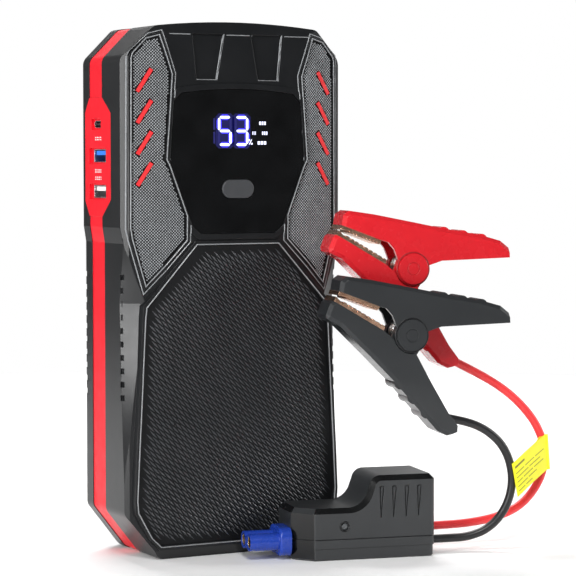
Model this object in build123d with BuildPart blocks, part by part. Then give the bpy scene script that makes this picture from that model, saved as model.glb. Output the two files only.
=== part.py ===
"""Jump starter pack standing on its base, with its unplugged lead set (module, plug, two clamps) beside it.

Frame: origin at the centre of the pack's base, +X to the right across the front, the front faces -Y, +Z up.
The lead set is drawn in its own turned frame, whose X runs along the module.
"""

import os
from math import cos, pi, radians, sin, tan

from build123d import *

os.makedirs("parts", exist_ok=True)

# ---- pack: driving dimensions, mm ----
CASE_W = 108.0          # width above the waist
WAIST_W = 105.8         # width below the waist
CASE_H = 236.0          # height at the middle of the arched top
REAR_Y = 23.0           # back face
BAND_REAR_Y = 12.0      # seam between rear cover and band
BAND_FRONT_Y = -2.0     # seam between band and front cover
EDGE_Y = -21.5          # front cover at its side edges
CROWN_Y = -27.4         # front cover along its middle
PANEL_Y = -28.2         # raised lower part of the front
WALL = 2.4

CORNER_TOP = 14.0       # 45 degree top corners
CORNER_LOW_X = 16.0     # lower corners, across
CORNER_LOW_Z = 20.5     # lower corners, up
ARCH_RISE = 2.4
WAIST_Z = 139.0
WAIST_STEP = 7.0

INLAY_T = 1.2           # textured inlays
INLAY_SINK = 0.3        # inlay face below the cover face
LENS_Y = -27.7
LENS_T = 1.8
BUTTON_W = 15.6
BUTTON_H = 8.2
BUTTON_Z = 162.7
BUTTON_TRAVEL = 0.8

POD_FACE = CASE_W / 2   # the band's wide places lie flush with the sides
POD_T = 2.8
PORT_Y = 3.0
USB_BLUE_Z = 177.3
USB_WHITE_Z = 161.5
INPUT_Z = 191.2
SOCKET_Z = 177.0
PIN_PITCH = 9.2         # between the two poles of plug and socket

# ---- lead set: driving dimensions, mm ----
LEAD_YAW = -12.0        # the lead set's X axis, turned from the pack's
LEAD_X = 47.0           # middle of the module on the ground
LEAD_Y = -50.6
MODULE_L = 64.4
MODULE_D = 31.0
DECK_Z = 23.0
MODULE_H = 36.8
MODULE_SEAM_Z = 9.6
LEAD_D = 3.8
CLAMP_HALF_W = 8.2      # half the thickness of a clamp
HUB_R = 7.8
PIN_R = 2.0
RUN_GAP = 0.05          # radial gap of the turning fit on the pivot pin
RED_PIVOT = (27.2, 9.4, 126.8)      # in the lead set's frame
BLACK_PIVOT = (20.2, -9.4, 98.6)


# ---- helpers ----
def front_plane(y):
    """Sketch plane facing the front at depth y: local x is X, local y is Z."""
    return Plane.XZ.offset(-y)


def side_plane(x):
    """Sketch plane facing +X at x: local x is Y, local y is Z."""
    return Plane.YZ.offset(x)


def mirrored(points):
    """The points of a right half, top to bottom, closed round the left side."""
    return points + [(-x, z) for x, z in reversed(points)]


def save(builder, name):
    """Label a finished piece and write it as its own node."""
    builder.part.label = name
    export_step(builder.part, f"parts/{name}.step")


def box_part(x0, x1, y0, y1, z0, z1):
    """A plain block between two corners, for use as a tool or as one solid of a group."""
    block = Box(x1 - x0, y1 - y0, z1 - z0, align=(Align.MIN, Align.MIN, Align.MIN), mode=Mode.PRIVATE)
    return Pos(x0, y0, z0) * block


def prism(points, y0, y1, round_by=0.0, grow=0.0):
    """A polygon in X and Z, grown by `grow`, carried from depth y0 forwards to y1."""
    with BuildPart() as made:
        with BuildSketch(front_plane(y0)):
            with BuildLine():
                Polyline(*points, close=True)
            make_face()
            if round_by:
                fillet(vertices(), round_by)
            if grow:
                offset(amount=grow, kind=Kind.INTERSECTION)
        extrude(amount=y0 - y1)
    return made.part


# ---- the casing's outline in front view ----
half_top = CASE_W / 2
half_low = WAIST_W / 2
with BuildSketch() as case_outline:
    with BuildLine():
        Polyline(
            (half_top - CORNER_TOP, CASE_H - ARCH_RISE),
            (half_top, CASE_H - ARCH_RISE - CORNER_TOP),
            (half_top, WAIST_Z + WAIST_STEP),
            (half_low, WAIST_Z),
            (half_low, CORNER_LOW_Z),
            (half_low - CORNER_LOW_X, 0),
            (-half_low + CORNER_LOW_X, 0),
            (-half_low, CORNER_LOW_Z),
            (-half_low, WAIST_Z),
            (-half_top, WAIST_Z + WAIST_STEP),
            (-half_top, CASE_H - ARCH_RISE - CORNER_TOP),
            (-half_top + CORNER_TOP, CASE_H - ARCH_RISE),
        )
        ThreePointArc(
            (-half_top + CORNER_TOP, CASE_H - ARCH_RISE),
            (0, CASE_H),
            (half_top - CORNER_TOP, CASE_H - ARCH_RISE),
        )
    make_face()
    corners = case_outline.vertices().filter_by(lambda v: v.Y > 200 or v.Y < 30)
    fillet(corners, 5.0)


def outline_block(inset, y0, y1):
    """The casing outline, shrunk by inset, carried from depth y0 forwards to y1."""
    with BuildPart() as made:
        with BuildSketch(front_plane(y0)):
            add(case_outline.sketch)
            if inset:
                offset(amount=-inset, kind=Kind.INTERSECTION)
        extrude(amount=y0 - y1)
    return made.part


def crown(back, inset=0.0):
    """The front cover's faceted outside, moved back into the cover by `back` and shrunk by inset."""
    half = CASE_W / 2
    across = [(half, BAND_FRONT_Y), (half, EDGE_Y), (51.0, -23.9), (35.0, CROWN_Y), (-35.0, CROWN_Y),
              (-51.0, -23.9), (-half, EDGE_Y), (-half, BAND_FRONT_Y)]
    up = [(BAND_FRONT_Y, -1), (EDGE_Y - 1.0, -1), (CROWN_Y, 5.5), (CROWN_Y, CASE_H - 5.0), (-24.4, CASE_H + 1),
          (BAND_FRONT_Y, CASE_H + 1)]
    with BuildPart() as made:
        add(outline_block(inset, BAND_FRONT_Y, CROWN_Y - 1))
        with BuildSketch():
            with BuildLine():
                Polyline(*[(x, y + back if y < BAND_FRONT_Y else y) for x, y in across], close=True)
            make_face()
        extrude(amount=CASE_H + 2, mode=Mode.INTERSECT)
        with BuildSketch(Plane.YZ.offset(-CASE_W)):
            with BuildLine():
                Polyline(*[(y + back if y < BAND_FRONT_Y else y, z) for y, z in up], close=True)
            make_face()
        extrude(amount=CASE_W * 2, mode=Mode.INTERSECT)
    return made.part


def front_skin(points, rise, depth, grow=0.0):
    """The slice of the crowned front under a polygon, from `rise` proud of it to `depth` below it."""
    column = prism(points, -15.0, -32.0, grow=grow)
    return (column & crown(-rise)) - crown(depth)


# ---- outlines on the front, right halves, top to bottom ----
WING = [(38.0, 229.0), (43.2, 227.6), (48.9, 221.4), (49.4, 219.4), (49.8, 145.6), (49.0, 141.0),
        (43.6, 121.6), (25.4, 140.6), (25.4, 151.0), (33.4, 172.0), (35.2, 175.6), (32.4, 212.6)]
WINDOW = [(27.6, 204.6), (31.2, 201.0), (33.0, 174.2), (22.2, 146.4), (18.2, 143.2)]
WINDOW_TOP_Z = 206.6
PANEL = [(20.0, 138.0), (44.0, 111.2), (44.6, 106.0), (46.2, 74.0), (47.8, 44.0), (48.6, 27.0), (48.2, 22.0),
         (41.8, 10.6), (37.6, 6.6)]
TAB = [(22.0, 230.6), (20.1, 210.6), (10.1, 210.6), (6.6, 230.6)]
BAR_TOP = (41.0, 214.8)
BAR_RUN = (6.1, -9.8)
BAR_PITCH = 13.55
BAR_W = 1.7


def wing_points(side):
    """The knurled wing of one side (+1 right, -1 left)."""
    return [(side * x, z) for x, z in WING]


def bar_points(side, row):
    """One slanted accent bar, as a narrow four-cornered outline."""
    length = (BAR_RUN[0] ** 2 + BAR_RUN[1] ** 2) ** 0.5
    across = (-BAR_RUN[1] / length * BAR_W / 2, BAR_RUN[0] / length * BAR_W / 2)
    x, z = BAR_TOP[0], BAR_TOP[1] - row * BAR_PITCH
    ends = [(x, z), (x + BAR_RUN[0], z + BAR_RUN[1])]
    ring = [(ends[0][0] - across[0], ends[0][1] - across[1]), (ends[1][0] - across[0], ends[1][1] - across[1]),
            (ends[1][0] + across[0], ends[1][1] + across[1]), (ends[0][0] + across[0], ends[0][1] + across[1])]
    return [(side * a, b) for a, b in ring]


def window_block(grow, y0, y1):
    """The display window with its arched top, grown by `grow`, from depth y0 forwards to y1."""
    with BuildPart() as made:
        with BuildSketch(front_plane(y0)):
            with BuildLine():
                Polyline(*mirrored(WINDOW))
                ThreePointArc((-WINDOW[0][0], WINDOW[0][1]), (0, WINDOW_TOP_Z), WINDOW[0])
            make_face()
            fillet(vertices(), 1.6)
            if grow:
                offset(amount=grow, kind=Kind.INTERSECTION)
        extrude(amount=y0 - y1)
    return made.part


def pill_block(width, height, z, y0, y1):
    """A rounded bar lying across the front at height z."""
    with BuildPart() as made:
        with BuildSketch(front_plane(y0)):
            with Locations((0, z)):
                SlotOverall(width, height)
        extrude(amount=y0 - y1)
    return made.part


# ---- grip facets: a long narrow lens cut off each front side edge below the wing ----
GRIP_LEVELS = [(141.5, 0.4, 0.4), (113.0, 8.6, 5.0), (52.0, 2.6, 2.0), (27.0, 0.3, 0.3)]


def grip_section(side, z, across, deep):
    """Triangle at height z that takes the corner off; it reaches past the surface on both sides."""
    near = (half_low - across, EDGE_Y - 3.6)
    far = (half_low + 0.05, EDGE_Y - 1.4 + deep)
    run = (far[0] - near[0], far[1] - near[1])
    start = (near[0] - run[0] * 0.4, near[1] - run[1] * 0.4)
    end = (far[0] + run[0] * 0.4, far[1] + run[1] * 0.4)
    out = (half_low + 6.0, EDGE_Y - 9.0)
    with BuildSketch(Plane.XY.offset(z)) as made:
        with BuildLine():
            Polyline(*[(side * x, y) for x, y in (start, end, out)], close=True)
        make_face()
    return made.sketch


def grip_cut(side):
    """The lens taken off one front side edge."""
    with BuildPart() as made:
        for level in GRIP_LEVELS:
            add(grip_section(side, *level))
        loft(ruled=True)
    return made.part


NOTCH_COUNT = 10
NOTCH_TOP_Z = 124.4
NOTCH_PITCH = 5.85
NOTCH_H = 2.4


def notch_cut(y0, y1):
    """The row of finger notches along both side edges, between two depths."""
    with BuildPart() as made:
        for row in range(NOTCH_COUNT):
            z = NOTCH_TOP_Z - row * NOTCH_PITCH
            for side in (-1, 1):
                low = min(side * (half_low - 1.0), side * (half_low + 3.0))
                add(box_part(low, low + 4.0, y1, y0, z - NOTCH_H / 2, z + NOTCH_H / 2))
    return made.part


# ---- side pods of the band ----
POD = [(BAND_FRONT_Y, 203.0), (-11.5, 196.0), (-11.5, 158.0), (BAND_FRONT_Y, 150.5), (BAND_REAR_Y, 150.5),
       (16.8, 157.0), (16.8, 196.5), (BAND_REAR_Y, 203.0)]


def pod_block(side, thickness):
    """The wide place of the band on one side."""
    with BuildPart() as made:
        with BuildSketch(side_plane(side * POD_FACE)):
            with BuildLine():
                Polyline(*POD, close=True)
            make_face()
        extrude(amount=-side * thickness)
    return made.part


# ---- front cover ----
with BuildPart() as cavity:
    add(crown(WALL, WALL))
    for side in (-1, 1):
        outer_half = box_part(min(side * 41.0, side * 60.0), max(side * 41.0, side * 60.0), -32.0, -14.6, 22.0, 144.0)
        add(outer_half, mode=Mode.SUBTRACT)
panel_grown = [(20.8, 140.0), (45.9, 112.2), (46.4, 106.4), (48.0, 74.2), (49.6, 44.0), (50.3, 26.6),
               (49.9, 21.4), (43.0, 9.4), (38.4, 4.8)]
with BuildPart() as front_cover:
    add(crown(0))
    for side in (-1, 1):
        add(grip_cut(side), mode=Mode.SUBTRACT)
    with BuildSketch(front_plane(-20.0)):
        with BuildLine():
            Polyline(*mirrored(panel_grown), close=True)
        make_face()
    extrude(amount=-20.0 - PANEL_Y)
    add(window_block(2.6, -24.0, CROWN_Y - 0.7))
    for side in (-1, 1):
        add(front_skin(wing_points(side), 0.5, 1.0, grow=1.7))
    add(cavity.part, mode=Mode.SUBTRACT)
    add(notch_cut(-18.6, -32.0), mode=Mode.SUBTRACT)
    for side in (-1, 1):
        add(front_skin(wing_points(side), 2.0, INLAY_SINK + INLAY_T), mode=Mode.SUBTRACT)
        add(prism([(side * x, z) for x, z in TAB], CROWN_Y + 1.1, -30.0, 0.8), mode=Mode.SUBTRACT)
        add(pod_block(side, 6.0), mode=Mode.SUBTRACT)
    add(prism(mirrored(PANEL), PANEL_Y + INLAY_SINK + INLAY_T, -32.0), mode=Mode.SUBTRACT)
    add(window_block(0.15, LENS_Y + LENS_T, -32.0), mode=Mode.SUBTRACT)
    add(window_block(-2.2, -20.0, -32.0), mode=Mode.SUBTRACT)
save(front_cover, "front_cover")

# ---- rear cover ----
REAR_BEVEL = 4.0
SCREW_SPOTS = [(-40.0, 20.0), (40.0, 20.0), (-43.0, 216.0), (43.0, 216.0)]
SCREW_HEAD_R = 3.2
SCREW_R = 1.5

with BuildPart() as rear_cover:
    add(outline_block(0, REAR_Y, BAND_REAR_Y))
    back_edges = rear_cover.faces().sort_by(Axis.Y)[-1].edges()
    chamfer(back_edges, REAR_BEVEL, REAR_BEVEL * 0.6)
    add(outline_block(WALL, REAR_Y - WALL, BAND_REAR_Y), mode=Mode.SUBTRACT)
    for x, z in SCREW_SPOTS:
        with BuildSketch(front_plane(REAR_Y - 1.0)):
            with Locations((x, z)):
                Circle(5.0)
        extrude(amount=8.0)
        with BuildSketch(front_plane(REAR_Y + 1.0)):
            with Locations((x, z)):
                Circle(SCREW_HEAD_R)
        extrude(amount=4.0, mode=Mode.SUBTRACT)
        with BuildSketch(front_plane(REAR_Y + 1.0)):
            with Locations((x, z)):
                Circle(SCREW_R)
        extrude(amount=14.0, mode=Mode.SUBTRACT)
    for side in (-1, 1):
        add(pod_block(side, 6.0), mode=Mode.SUBTRACT)
    add(notch_cut(REAR_Y + 1.0, BAND_REAR_Y + 4.0), mode=Mode.SUBTRACT)
save(rear_cover, "rear_cover")

with BuildPart() as case_screws:
    for x, z in SCREW_SPOTS:
        with BuildSketch(front_plane(REAR_Y - 0.8)):
            with Locations((x, z)):
                Circle(SCREW_HEAD_R - 0.1)
        extrude(amount=2.2)
        with BuildSketch(front_plane(REAR_Y - 3.0)):
            with Locations((x, z)):
                Circle(SCREW_R)
        extrude(amount=8.0)
        with BuildSketch(front_plane(REAR_Y - 0.8)):
            with Locations((x, z)):
                Rectangle(3.8, 0.9)
                Rectangle(0.9, 3.8)
        extrude(amount=1.2, mode=Mode.SUBTRACT)
save(case_screws, "case_screws")

# ---- red band between the covers, with its two side pods and the torch bezel on top ----
TORCH_X = 12.0
TORCH_W = 17.0
TORCH_D = 9.0
TORCH_RISE = 0.9
USB_POCKET = (18.6, 7.0)
USB_SHELL = (13.2, 5.8)
USB_DEPTH = 14.0
INPUT_POCKET = (10.6, 5.0)
INPUT_SHELL = (8.9, 3.3)
INPUT_DEPTH = 8.0
POCKET_DEPTH = 1.2
SOCKET_W = 13.0
SOCKET_H = 22.4
SOCKET_DEPTH = 19.0
SOCKET_SINK = 0.6

with BuildPart() as side_band:
    add(outline_block(0.3, BAND_REAR_Y, BAND_FRONT_Y))
    add(outline_block(WALL, BAND_REAR_Y, BAND_FRONT_Y), mode=Mode.SUBTRACT)
    for side in (-1, 1):
        add(pod_block(side, POD_T))
    with BuildSketch(Plane.XY.offset(CASE_H - WALL)):
        with Locations((TORCH_X, (BAND_REAR_Y + BAND_FRONT_Y) / 2)):
            RectangleRounded(TORCH_W, TORCH_D, 2.5)
    extrude(amount=WALL + TORCH_RISE)
    with BuildSketch(Plane.XY.offset(CASE_H - WALL - 1)):
        with Locations((TORCH_X, (BAND_REAR_Y + BAND_FRONT_Y) / 2)):
            SlotOverall(TORCH_W - 4.0, TORCH_D - 4.0)
    extrude(amount=WALL + TORCH_RISE + 2, mode=Mode.SUBTRACT)
    for z in (USB_BLUE_Z, USB_WHITE_Z):
        with BuildSketch(side_plane(-POD_FACE)):
            with Locations((PORT_Y, z)):
                RectangleRounded(*USB_POCKET, 1.0)
        extrude(amount=POCKET_DEPTH, mode=Mode.SUBTRACT)
        with BuildSketch(side_plane(-POD_FACE)):
            with Locations((PORT_Y, z)):
                Rectangle(*USB_SHELL)
        extrude(amount=POD_T, mode=Mode.SUBTRACT)
    with BuildSketch(side_plane(-POD_FACE)):
        with Locations((PORT_Y + 1.6, INPUT_Z)):
            RectangleRounded(*INPUT_POCKET, 1.0)
    extrude(amount=POCKET_DEPTH, mode=Mode.SUBTRACT)
    with BuildSketch(side_plane(-POD_FACE)):
        with Locations((PORT_Y + 1.6, INPUT_Z)):
            SlotOverall(*INPUT_SHELL)
    extrude(amount=POD_T, mode=Mode.SUBTRACT)
    with BuildSketch(side_plane(POD_FACE)):
        with Locations((PORT_Y, SOCKET_Z)):
            Rectangle(SOCKET_W, SOCKET_H)
    extrude(amount=-POD_T, mode=Mode.SUBTRACT)
save(side_band, "side_band")

with BuildPart() as torch_lens:
    with BuildSketch(Plane.XY.offset(CASE_H - WALL)):
        with Locations((TORCH_X, (BAND_REAR_Y + BAND_FRONT_Y) / 2)):
            SlotOverall(TORCH_W - 4.1, TORCH_D - 4.1)
    extrude(amount=WALL + TORCH_RISE - 0.5)
save(torch_lens, "torch_lens")

with BuildPart() as torch_led:
    with BuildSketch(Plane.XY.offset(CASE_H - WALL - 3.0)):
        with Locations((TORCH_X, (BAND_REAR_Y + BAND_FRONT_Y) / 2)):
            Rectangle(16.0, 8.0)
    extrude(amount=1.2)
    with BuildSketch(Plane.XY.offset(CASE_H - WALL - 1.8)):
        with Locations((TORCH_X - 3.2, 5.0), (TORCH_X + 3.2, 5.0)):
            Rectangle(3.0, 3.0)
    extrude(amount=1.0)
save(torch_led, "torch_led")

# ---- inlays and the red bars on the front ----
for side, name in ((-1, "left_wing"), (1, "right_wing")):
    with BuildPart() as wing:
        add(front_skin(wing_points(side), -INLAY_SINK, INLAY_SINK + INLAY_T))
        for row in range(4):
            add(prism(bar_points(side, row), -15.0, -32.0), mode=Mode.SUBTRACT)
    save(wing, name)

with BuildPart() as accent_bars:
    for side in (-1, 1):
        for row in range(4):
            add(front_skin(bar_points(side, row), 0.2, INLAY_SINK + INLAY_T))
save(accent_bars, "accent_bars")

with BuildPart() as lower_panel:
    add(prism(mirrored(PANEL), PANEL_Y + INLAY_SINK + INLAY_T, PANEL_Y + INLAY_SINK))
save(lower_panel, "lower_panel")

# ---- display, its button and the boards ----
BUTTON_FACE_Y = LENS_Y - 0.6
BUTTON_BACK_Y = -22.8
FLANGE_Y = -24.6
SWITCH_Y = -21.9
BOARD_Y = -19.4
BOARD_T = 1.6
DISPLAY_W = 46.0
DISPLAY_Z = 188.0
DISPLAY_H = 24.0

with BuildPart() as display_lens:
    add(window_block(0, LENS_Y + LENS_T, LENS_Y))
    with BuildSketch(front_plane(LENS_Y + LENS_T)):
        with Locations((0, BUTTON_Z)):
            SlotOverall(BUTTON_W + 0.5, BUTTON_H + 0.5)
    extrude(amount=LENS_T, mode=Mode.SUBTRACT)
save(display_lens, "display_lens")

with BuildPart() as power_button:
    add(pill_block(BUTTON_W, BUTTON_H, BUTTON_Z, BUTTON_BACK_Y, BUTTON_FACE_Y))
    fillet(power_button.faces().sort_by(Axis.Y)[0].edges(), 0.5)
    add(pill_block(BUTTON_W + 3.0, BUTTON_H + 3.0, BUTTON_Z, FLANGE_Y + 1.0, FLANGE_Y))
save(power_button, "power_button")

with BuildPart() as button_switch:
    with BuildSketch(front_plane(BOARD_Y)):
        with Locations((0, BUTTON_Z)):
            Rectangle(6.0, 6.0)
    extrude(amount=2.0)
    with BuildSketch(front_plane(BOARD_Y - 2.0)):
        with Locations((0, BUTTON_Z)):
            Circle(1.7)
    extrude(amount=BOARD_Y - 2.0 - SWITCH_Y)
save(button_switch, "button_switch")

with BuildPart() as display_board:
    with BuildSketch(front_plane(BOARD_Y + BOARD_T)):
        with Locations((0, 178.0)):
            RectangleRounded(58.0, 52.0, 2.0)
        with Locations((-25.0, 156.0), (25.0, 156.0), (-25.0, 200.0), (25.0, 200.0)):
            Circle(1.3, mode=Mode.SUBTRACT)
    extrude(amount=BOARD_T)
save(display_board, "display_board")

with BuildPart() as display_module:
    add(box_part(-DISPLAY_W / 2, DISPLAY_W / 2, LENS_Y + LENS_T + 1.1, BOARD_Y,
                 DISPLAY_Z - DISPLAY_H / 2, DISPLAY_Z + DISPLAY_H / 2))
save(display_module, "display_module")

MAIN_BOARD_Y = 9.9
with BuildPart() as main_board:
    with BuildSketch(front_plane(MAIN_BOARD_Y + BOARD_T)):
        with Locations((-6.0, 183.0)):
            RectangleRounded(76.0, 80.0, 2.0)
    extrude(amount=BOARD_T)
save(main_board, "main_board")

with BuildPart() as board_components:
    for x, z, radius in ((-22.0, 205.0, 5.0), (-10.0, 205.0, 5.0), (-22.0, 190.0, 4.0)):
        with BuildSketch(front_plane(MAIN_BOARD_Y)):
            with Locations((x, z)):
                Circle(radius)
        extrude(amount=12.0)
    for x, z, width, height, deep in ((4.0, 206.0, 12.0, 12.0, 6.0), (4.0, 186.0, 9.0, 9.0, 1.6),
                                      (-12.0, 168.0, 14.0, 6.0, 4.0), (8.0, 168.0, 14.0, 10.0, 3.0),
                                      (22.0, 196.0, 10.0, 16.0, 8.0)):
        low_z = z - height / 2
        add(box_part(x - width / 2, x + width / 2, MAIN_BOARD_Y - deep, MAIN_BOARD_Y, low_z, low_z + height))
save(board_components, "board_components")

# ---- cells: four pouches in a tray, foam in front and behind, copper straps up to the socket ----
CELL_W = 82.0
CELL_H = 100.0
CELL_T = 7.6
CELL_Z = 28.0
CELL_COUNT = 4
CELL_FRONT_Y = -14.0
TRAY_T = 1.6
cell_back_y = CELL_FRONT_Y + CELL_COUNT * CELL_T

with BuildPart() as battery_cells:
    for index in range(CELL_COUNT):
        front = CELL_FRONT_Y + index * CELL_T
        add(box_part(-CELL_W / 2, CELL_W / 2, front, front + CELL_T - 0.2, CELL_Z, CELL_Z + CELL_H))
save(battery_cells, "battery_cells")

with BuildPart() as cell_tray:
    add(box_part(-CELL_W / 2 - TRAY_T, CELL_W / 2 + TRAY_T, CELL_FRONT_Y, cell_back_y - 0.2,
                 CELL_Z - TRAY_T, CELL_Z + CELL_H + TRAY_T))
    add(box_part(-CELL_W / 2, CELL_W / 2, CELL_FRONT_Y - 1, cell_back_y + 1, CELL_Z, CELL_Z + CELL_H),
        mode=Mode.SUBTRACT)
save(cell_tray, "cell_tray")

with BuildPart() as foam_pads:
    for front in (CELL_FRONT_Y - 3.0, cell_back_y):
        add(box_part(-30.0, 30.0, front, front + 3.0, CELL_Z + 8, CELL_Z + CELL_H - 8))
save(foam_pads, "foam_pads")

STRAP_T = 0.8
STRAP_W = 8.0
with BuildPart() as copper_straps:
    for x, y in ((14.0, -12.0), (30.0, 2.0)):
        add(box_part(x, x + STRAP_W, y, y + STRAP_T, CELL_Z + CELL_H + TRAY_T + 0.2, 146.0))
        add(box_part(x, 46.0, y, y + STRAP_T, 146.0, 154.0))
save(copper_straps, "copper_straps")

# ---- ports on the left pod ----
shell_face = -POD_FACE + POCKET_DEPTH
with BuildPart() as usb_shells:
    for z in (USB_BLUE_Z, USB_WHITE_Z):
        with BuildSketch(side_plane(shell_face)):
            with Locations((PORT_Y, z)):
                Rectangle(*USB_SHELL)
        extrude(amount=USB_DEPTH)
        with BuildSketch(side_plane(shell_face)):
            with Locations((PORT_Y, z)):
                Rectangle(USB_SHELL[0] - 0.7, USB_SHELL[1] - 0.7)
        extrude(amount=USB_DEPTH - 0.4, mode=Mode.SUBTRACT)
save(usb_shells, "usb_shells")

for z, name in ((USB_BLUE_Z, "usb_blue_tongue"), (USB_WHITE_Z, "usb_white_tongue")):
    with BuildPart() as tongue:
        with BuildSketch(side_plane(shell_face + 0.8)):
            with Locations((PORT_Y, z + 1.25)):
                RectangleRounded(11.1, 1.9, 0.3)
        extrude(amount=9.0)
        with BuildSketch(side_plane(shell_face + 9.8)):
            with Locations((PORT_Y, z)):
                Rectangle(USB_SHELL[0] - 0.7, USB_SHELL[1] - 0.7)
        extrude(amount=3.6)
    save(tongue, name)

with BuildPart() as input_port:
    with BuildSketch(side_plane(shell_face)):
        with Locations((PORT_Y + 1.6, INPUT_Z)):
            SlotOverall(*INPUT_SHELL)
    extrude(amount=INPUT_DEPTH)
    with BuildSketch(side_plane(shell_face)):
        with Locations((PORT_Y + 1.6, INPUT_Z)):
            SlotOverall(INPUT_SHELL[0] - 0.6, INPUT_SHELL[1] - 0.6)
    extrude(amount=INPUT_DEPTH - 0.4, mode=Mode.SUBTRACT)
save(input_port, "input_port")

with BuildPart() as input_tongue:
    with BuildSketch(side_plane(shell_face + 0.9)):
        with Locations((PORT_Y + 1.6, INPUT_Z)):
            RectangleRounded(6.6, 0.8, 0.2)
    extrude(amount=INPUT_DEPTH - 1.3)
save(input_tongue, "input_tongue")

# ---- jump socket on the right pod, and its hinged rubber cap ----
BARREL_R = 3.8
SOCKET_BORE_R = 4.1
PIN_RADIUS = 2.4
socket_face = POD_FACE - SOCKET_SINK
pole_spots = [(PORT_Y, SOCKET_Z - PIN_PITCH / 2), (PORT_Y, SOCKET_Z + PIN_PITCH / 2)]

with BuildPart() as jump_socket:
    with BuildSketch(side_plane(socket_face)):
        with Locations((PORT_Y, SOCKET_Z)):
            Rectangle(SOCKET_W, SOCKET_H)
    extrude(amount=-SOCKET_DEPTH)
    with BuildSketch(side_plane(socket_face)):
        with Locations(*pole_spots):
            Circle(SOCKET_BORE_R)
    extrude(amount=-16.0, mode=Mode.SUBTRACT)
    with BuildSketch(side_plane(socket_face)):
        with Locations(*pole_spots):
            Circle(1.5)
    extrude(amount=-SOCKET_DEPTH, mode=Mode.SUBTRACT)
save(jump_socket, "jump_socket")

with BuildPart() as socket_contacts:
    with BuildSketch(side_plane(socket_face - 16.0)):
        with Locations(*pole_spots):
            Circle(PIN_RADIUS)
    extrude(amount=10.5)
    with BuildSketch(side_plane(socket_face - 16.0)):
        with Locations(*pole_spots):
            Circle(1.5)
    extrude(amount=-6.0)
save(socket_contacts, "socket_contacts")

CAP_T = 1.6
CAP_GAP = 0.15
HINGE_X = POD_FACE + 1.75
HINGE_Y = 14.6
KNUCKLE_R = 1.6
HINGE_PIN_R = 0.8
KNUCKLE_H = 12.0
LUG_H = 2.7
LUG_GAP = 0.3
cap_face = POD_FACE + CAP_GAP
lug_spots = (SOCKET_Z - KNUCKLE_H / 2 - LUG_GAP - LUG_H, SOCKET_Z + KNUCKLE_H / 2 + LUG_GAP)
with BuildPart() as socket_cap:
    with BuildSketch(side_plane(cap_face)):
        with Locations((PORT_Y + 0.6, SOCKET_Z)):
            RectangleRounded(19.4, 28.0, 3.0)
    extrude(amount=CAP_T)
    fillet(socket_cap.faces().sort_by(Axis.X)[-1].edges(), 0.6)
    with BuildSketch(side_plane(cap_face + CAP_T - 0.2)):
        with Locations((PORT_Y - 6.4, SOCKET_Z)):
            SlotOverall(12.0, 2.4, rotation=90)
    extrude(amount=1.0)
    add(box_part(cap_face, cap_face + CAP_T, HINGE_Y - 3.0, HINGE_Y,
                 SOCKET_Z - KNUCKLE_H / 2, SOCKET_Z + KNUCKLE_H / 2))
    for low in lug_spots:
        add(box_part(POD_FACE, POD_FACE + 4.0, HINGE_Y - 3.4, HINGE_Y + 3.0, low - LUG_GAP, low + LUG_H + LUG_GAP),
            mode=Mode.SUBTRACT)
    with BuildSketch(Plane.XY.offset(SOCKET_Z - KNUCKLE_H / 2)):
        with Locations((HINGE_X, HINGE_Y)):
            Circle(KNUCKLE_R)
    extrude(amount=KNUCKLE_H)
    with BuildSketch(Plane.XY.offset(SOCKET_Z - KNUCKLE_H / 2)):
        with Locations((HINGE_X, HINGE_Y)):
            Circle(HINGE_PIN_R + RUN_GAP)
    extrude(amount=KNUCKLE_H, mode=Mode.SUBTRACT)
save(socket_cap, "socket_cap")

with BuildPart() as cap_hinge:
    for low in lug_spots:
        add(box_part(POD_FACE, HINGE_X + 1.45, HINGE_Y - 0.95, HINGE_Y + 1.6, low, low + LUG_H))
    with BuildSketch(Plane.XY.offset(lug_spots[0])):
        with Locations((HINGE_X, HINGE_Y)):
            Circle(HINGE_PIN_R)
    extrude(amount=lug_spots[1] + LUG_H - lug_spots[0])
save(cap_hinge, "cap_hinge")

# ================= lead set =================
yaw = radians(LEAD_YAW)
LEAD_XDIR = (cos(yaw), sin(yaw), 0)
LEAD_FRONT = (sin(yaw), -cos(yaw), 0)       # the lead set's own front


def lead_point(along, deep, z):
    """A place in the lead set's frame, in the pack's frame."""
    return (
        LEAD_X + along * cos(yaw) - deep * sin(yaw),
        LEAD_Y + along * sin(yaw) + deep * cos(yaw),
        z,
    )


def lead_floor(z):
    """Level sketch plane at height z: local x runs along the module."""
    return Plane(origin=(LEAD_X, LEAD_Y, z), x_dir=LEAD_XDIR, z_dir=(0, 0, 1))


def lead_wall(deep):
    """Upright sketch plane facing the lead set's front; local y is Z."""
    return Plane(origin=lead_point(0, deep, 0), x_dir=LEAD_XDIR, z_dir=LEAD_FRONT)


def lead_end(along):
    """Upright sketch plane across the lead set, facing its right: local x is depth, local y is Z."""
    return Plane(origin=lead_point(along, 0, 0), x_dir=(-sin(yaw), cos(yaw), 0), z_dir=LEAD_XDIR)


# ---- module ----
MODULE_WALL = 1.8
CUT_CORNER = 8.8
MODULE_CORNER = 2.4
TOP_BEVEL = 2.2
BACK_CORNER = 3.0
SEAM_GAP = 0.4
PLINTH_Z = 5.4
PLINTH_SINK = 0.5
LED_SPOT = (-9.8, 15.0)
VENT_SPOTS = [7.2, 13.0, 18.8, 24.6]
VENT_TOP_Z = 32.4
VENT_H = 14.0
PLUG_Z = 8.0
PLUG_DEPTH_SPOTS = [-PIN_PITCH / 2, PIN_PITCH / 2]
RED_EXIT = (4.2, 10.4)          # depth and height of the leads' outlets
BLACK_EXIT = (-4.2, 5.8)
GROMMET_R = 2.9
GROMMET_OUT = 0.6

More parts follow.
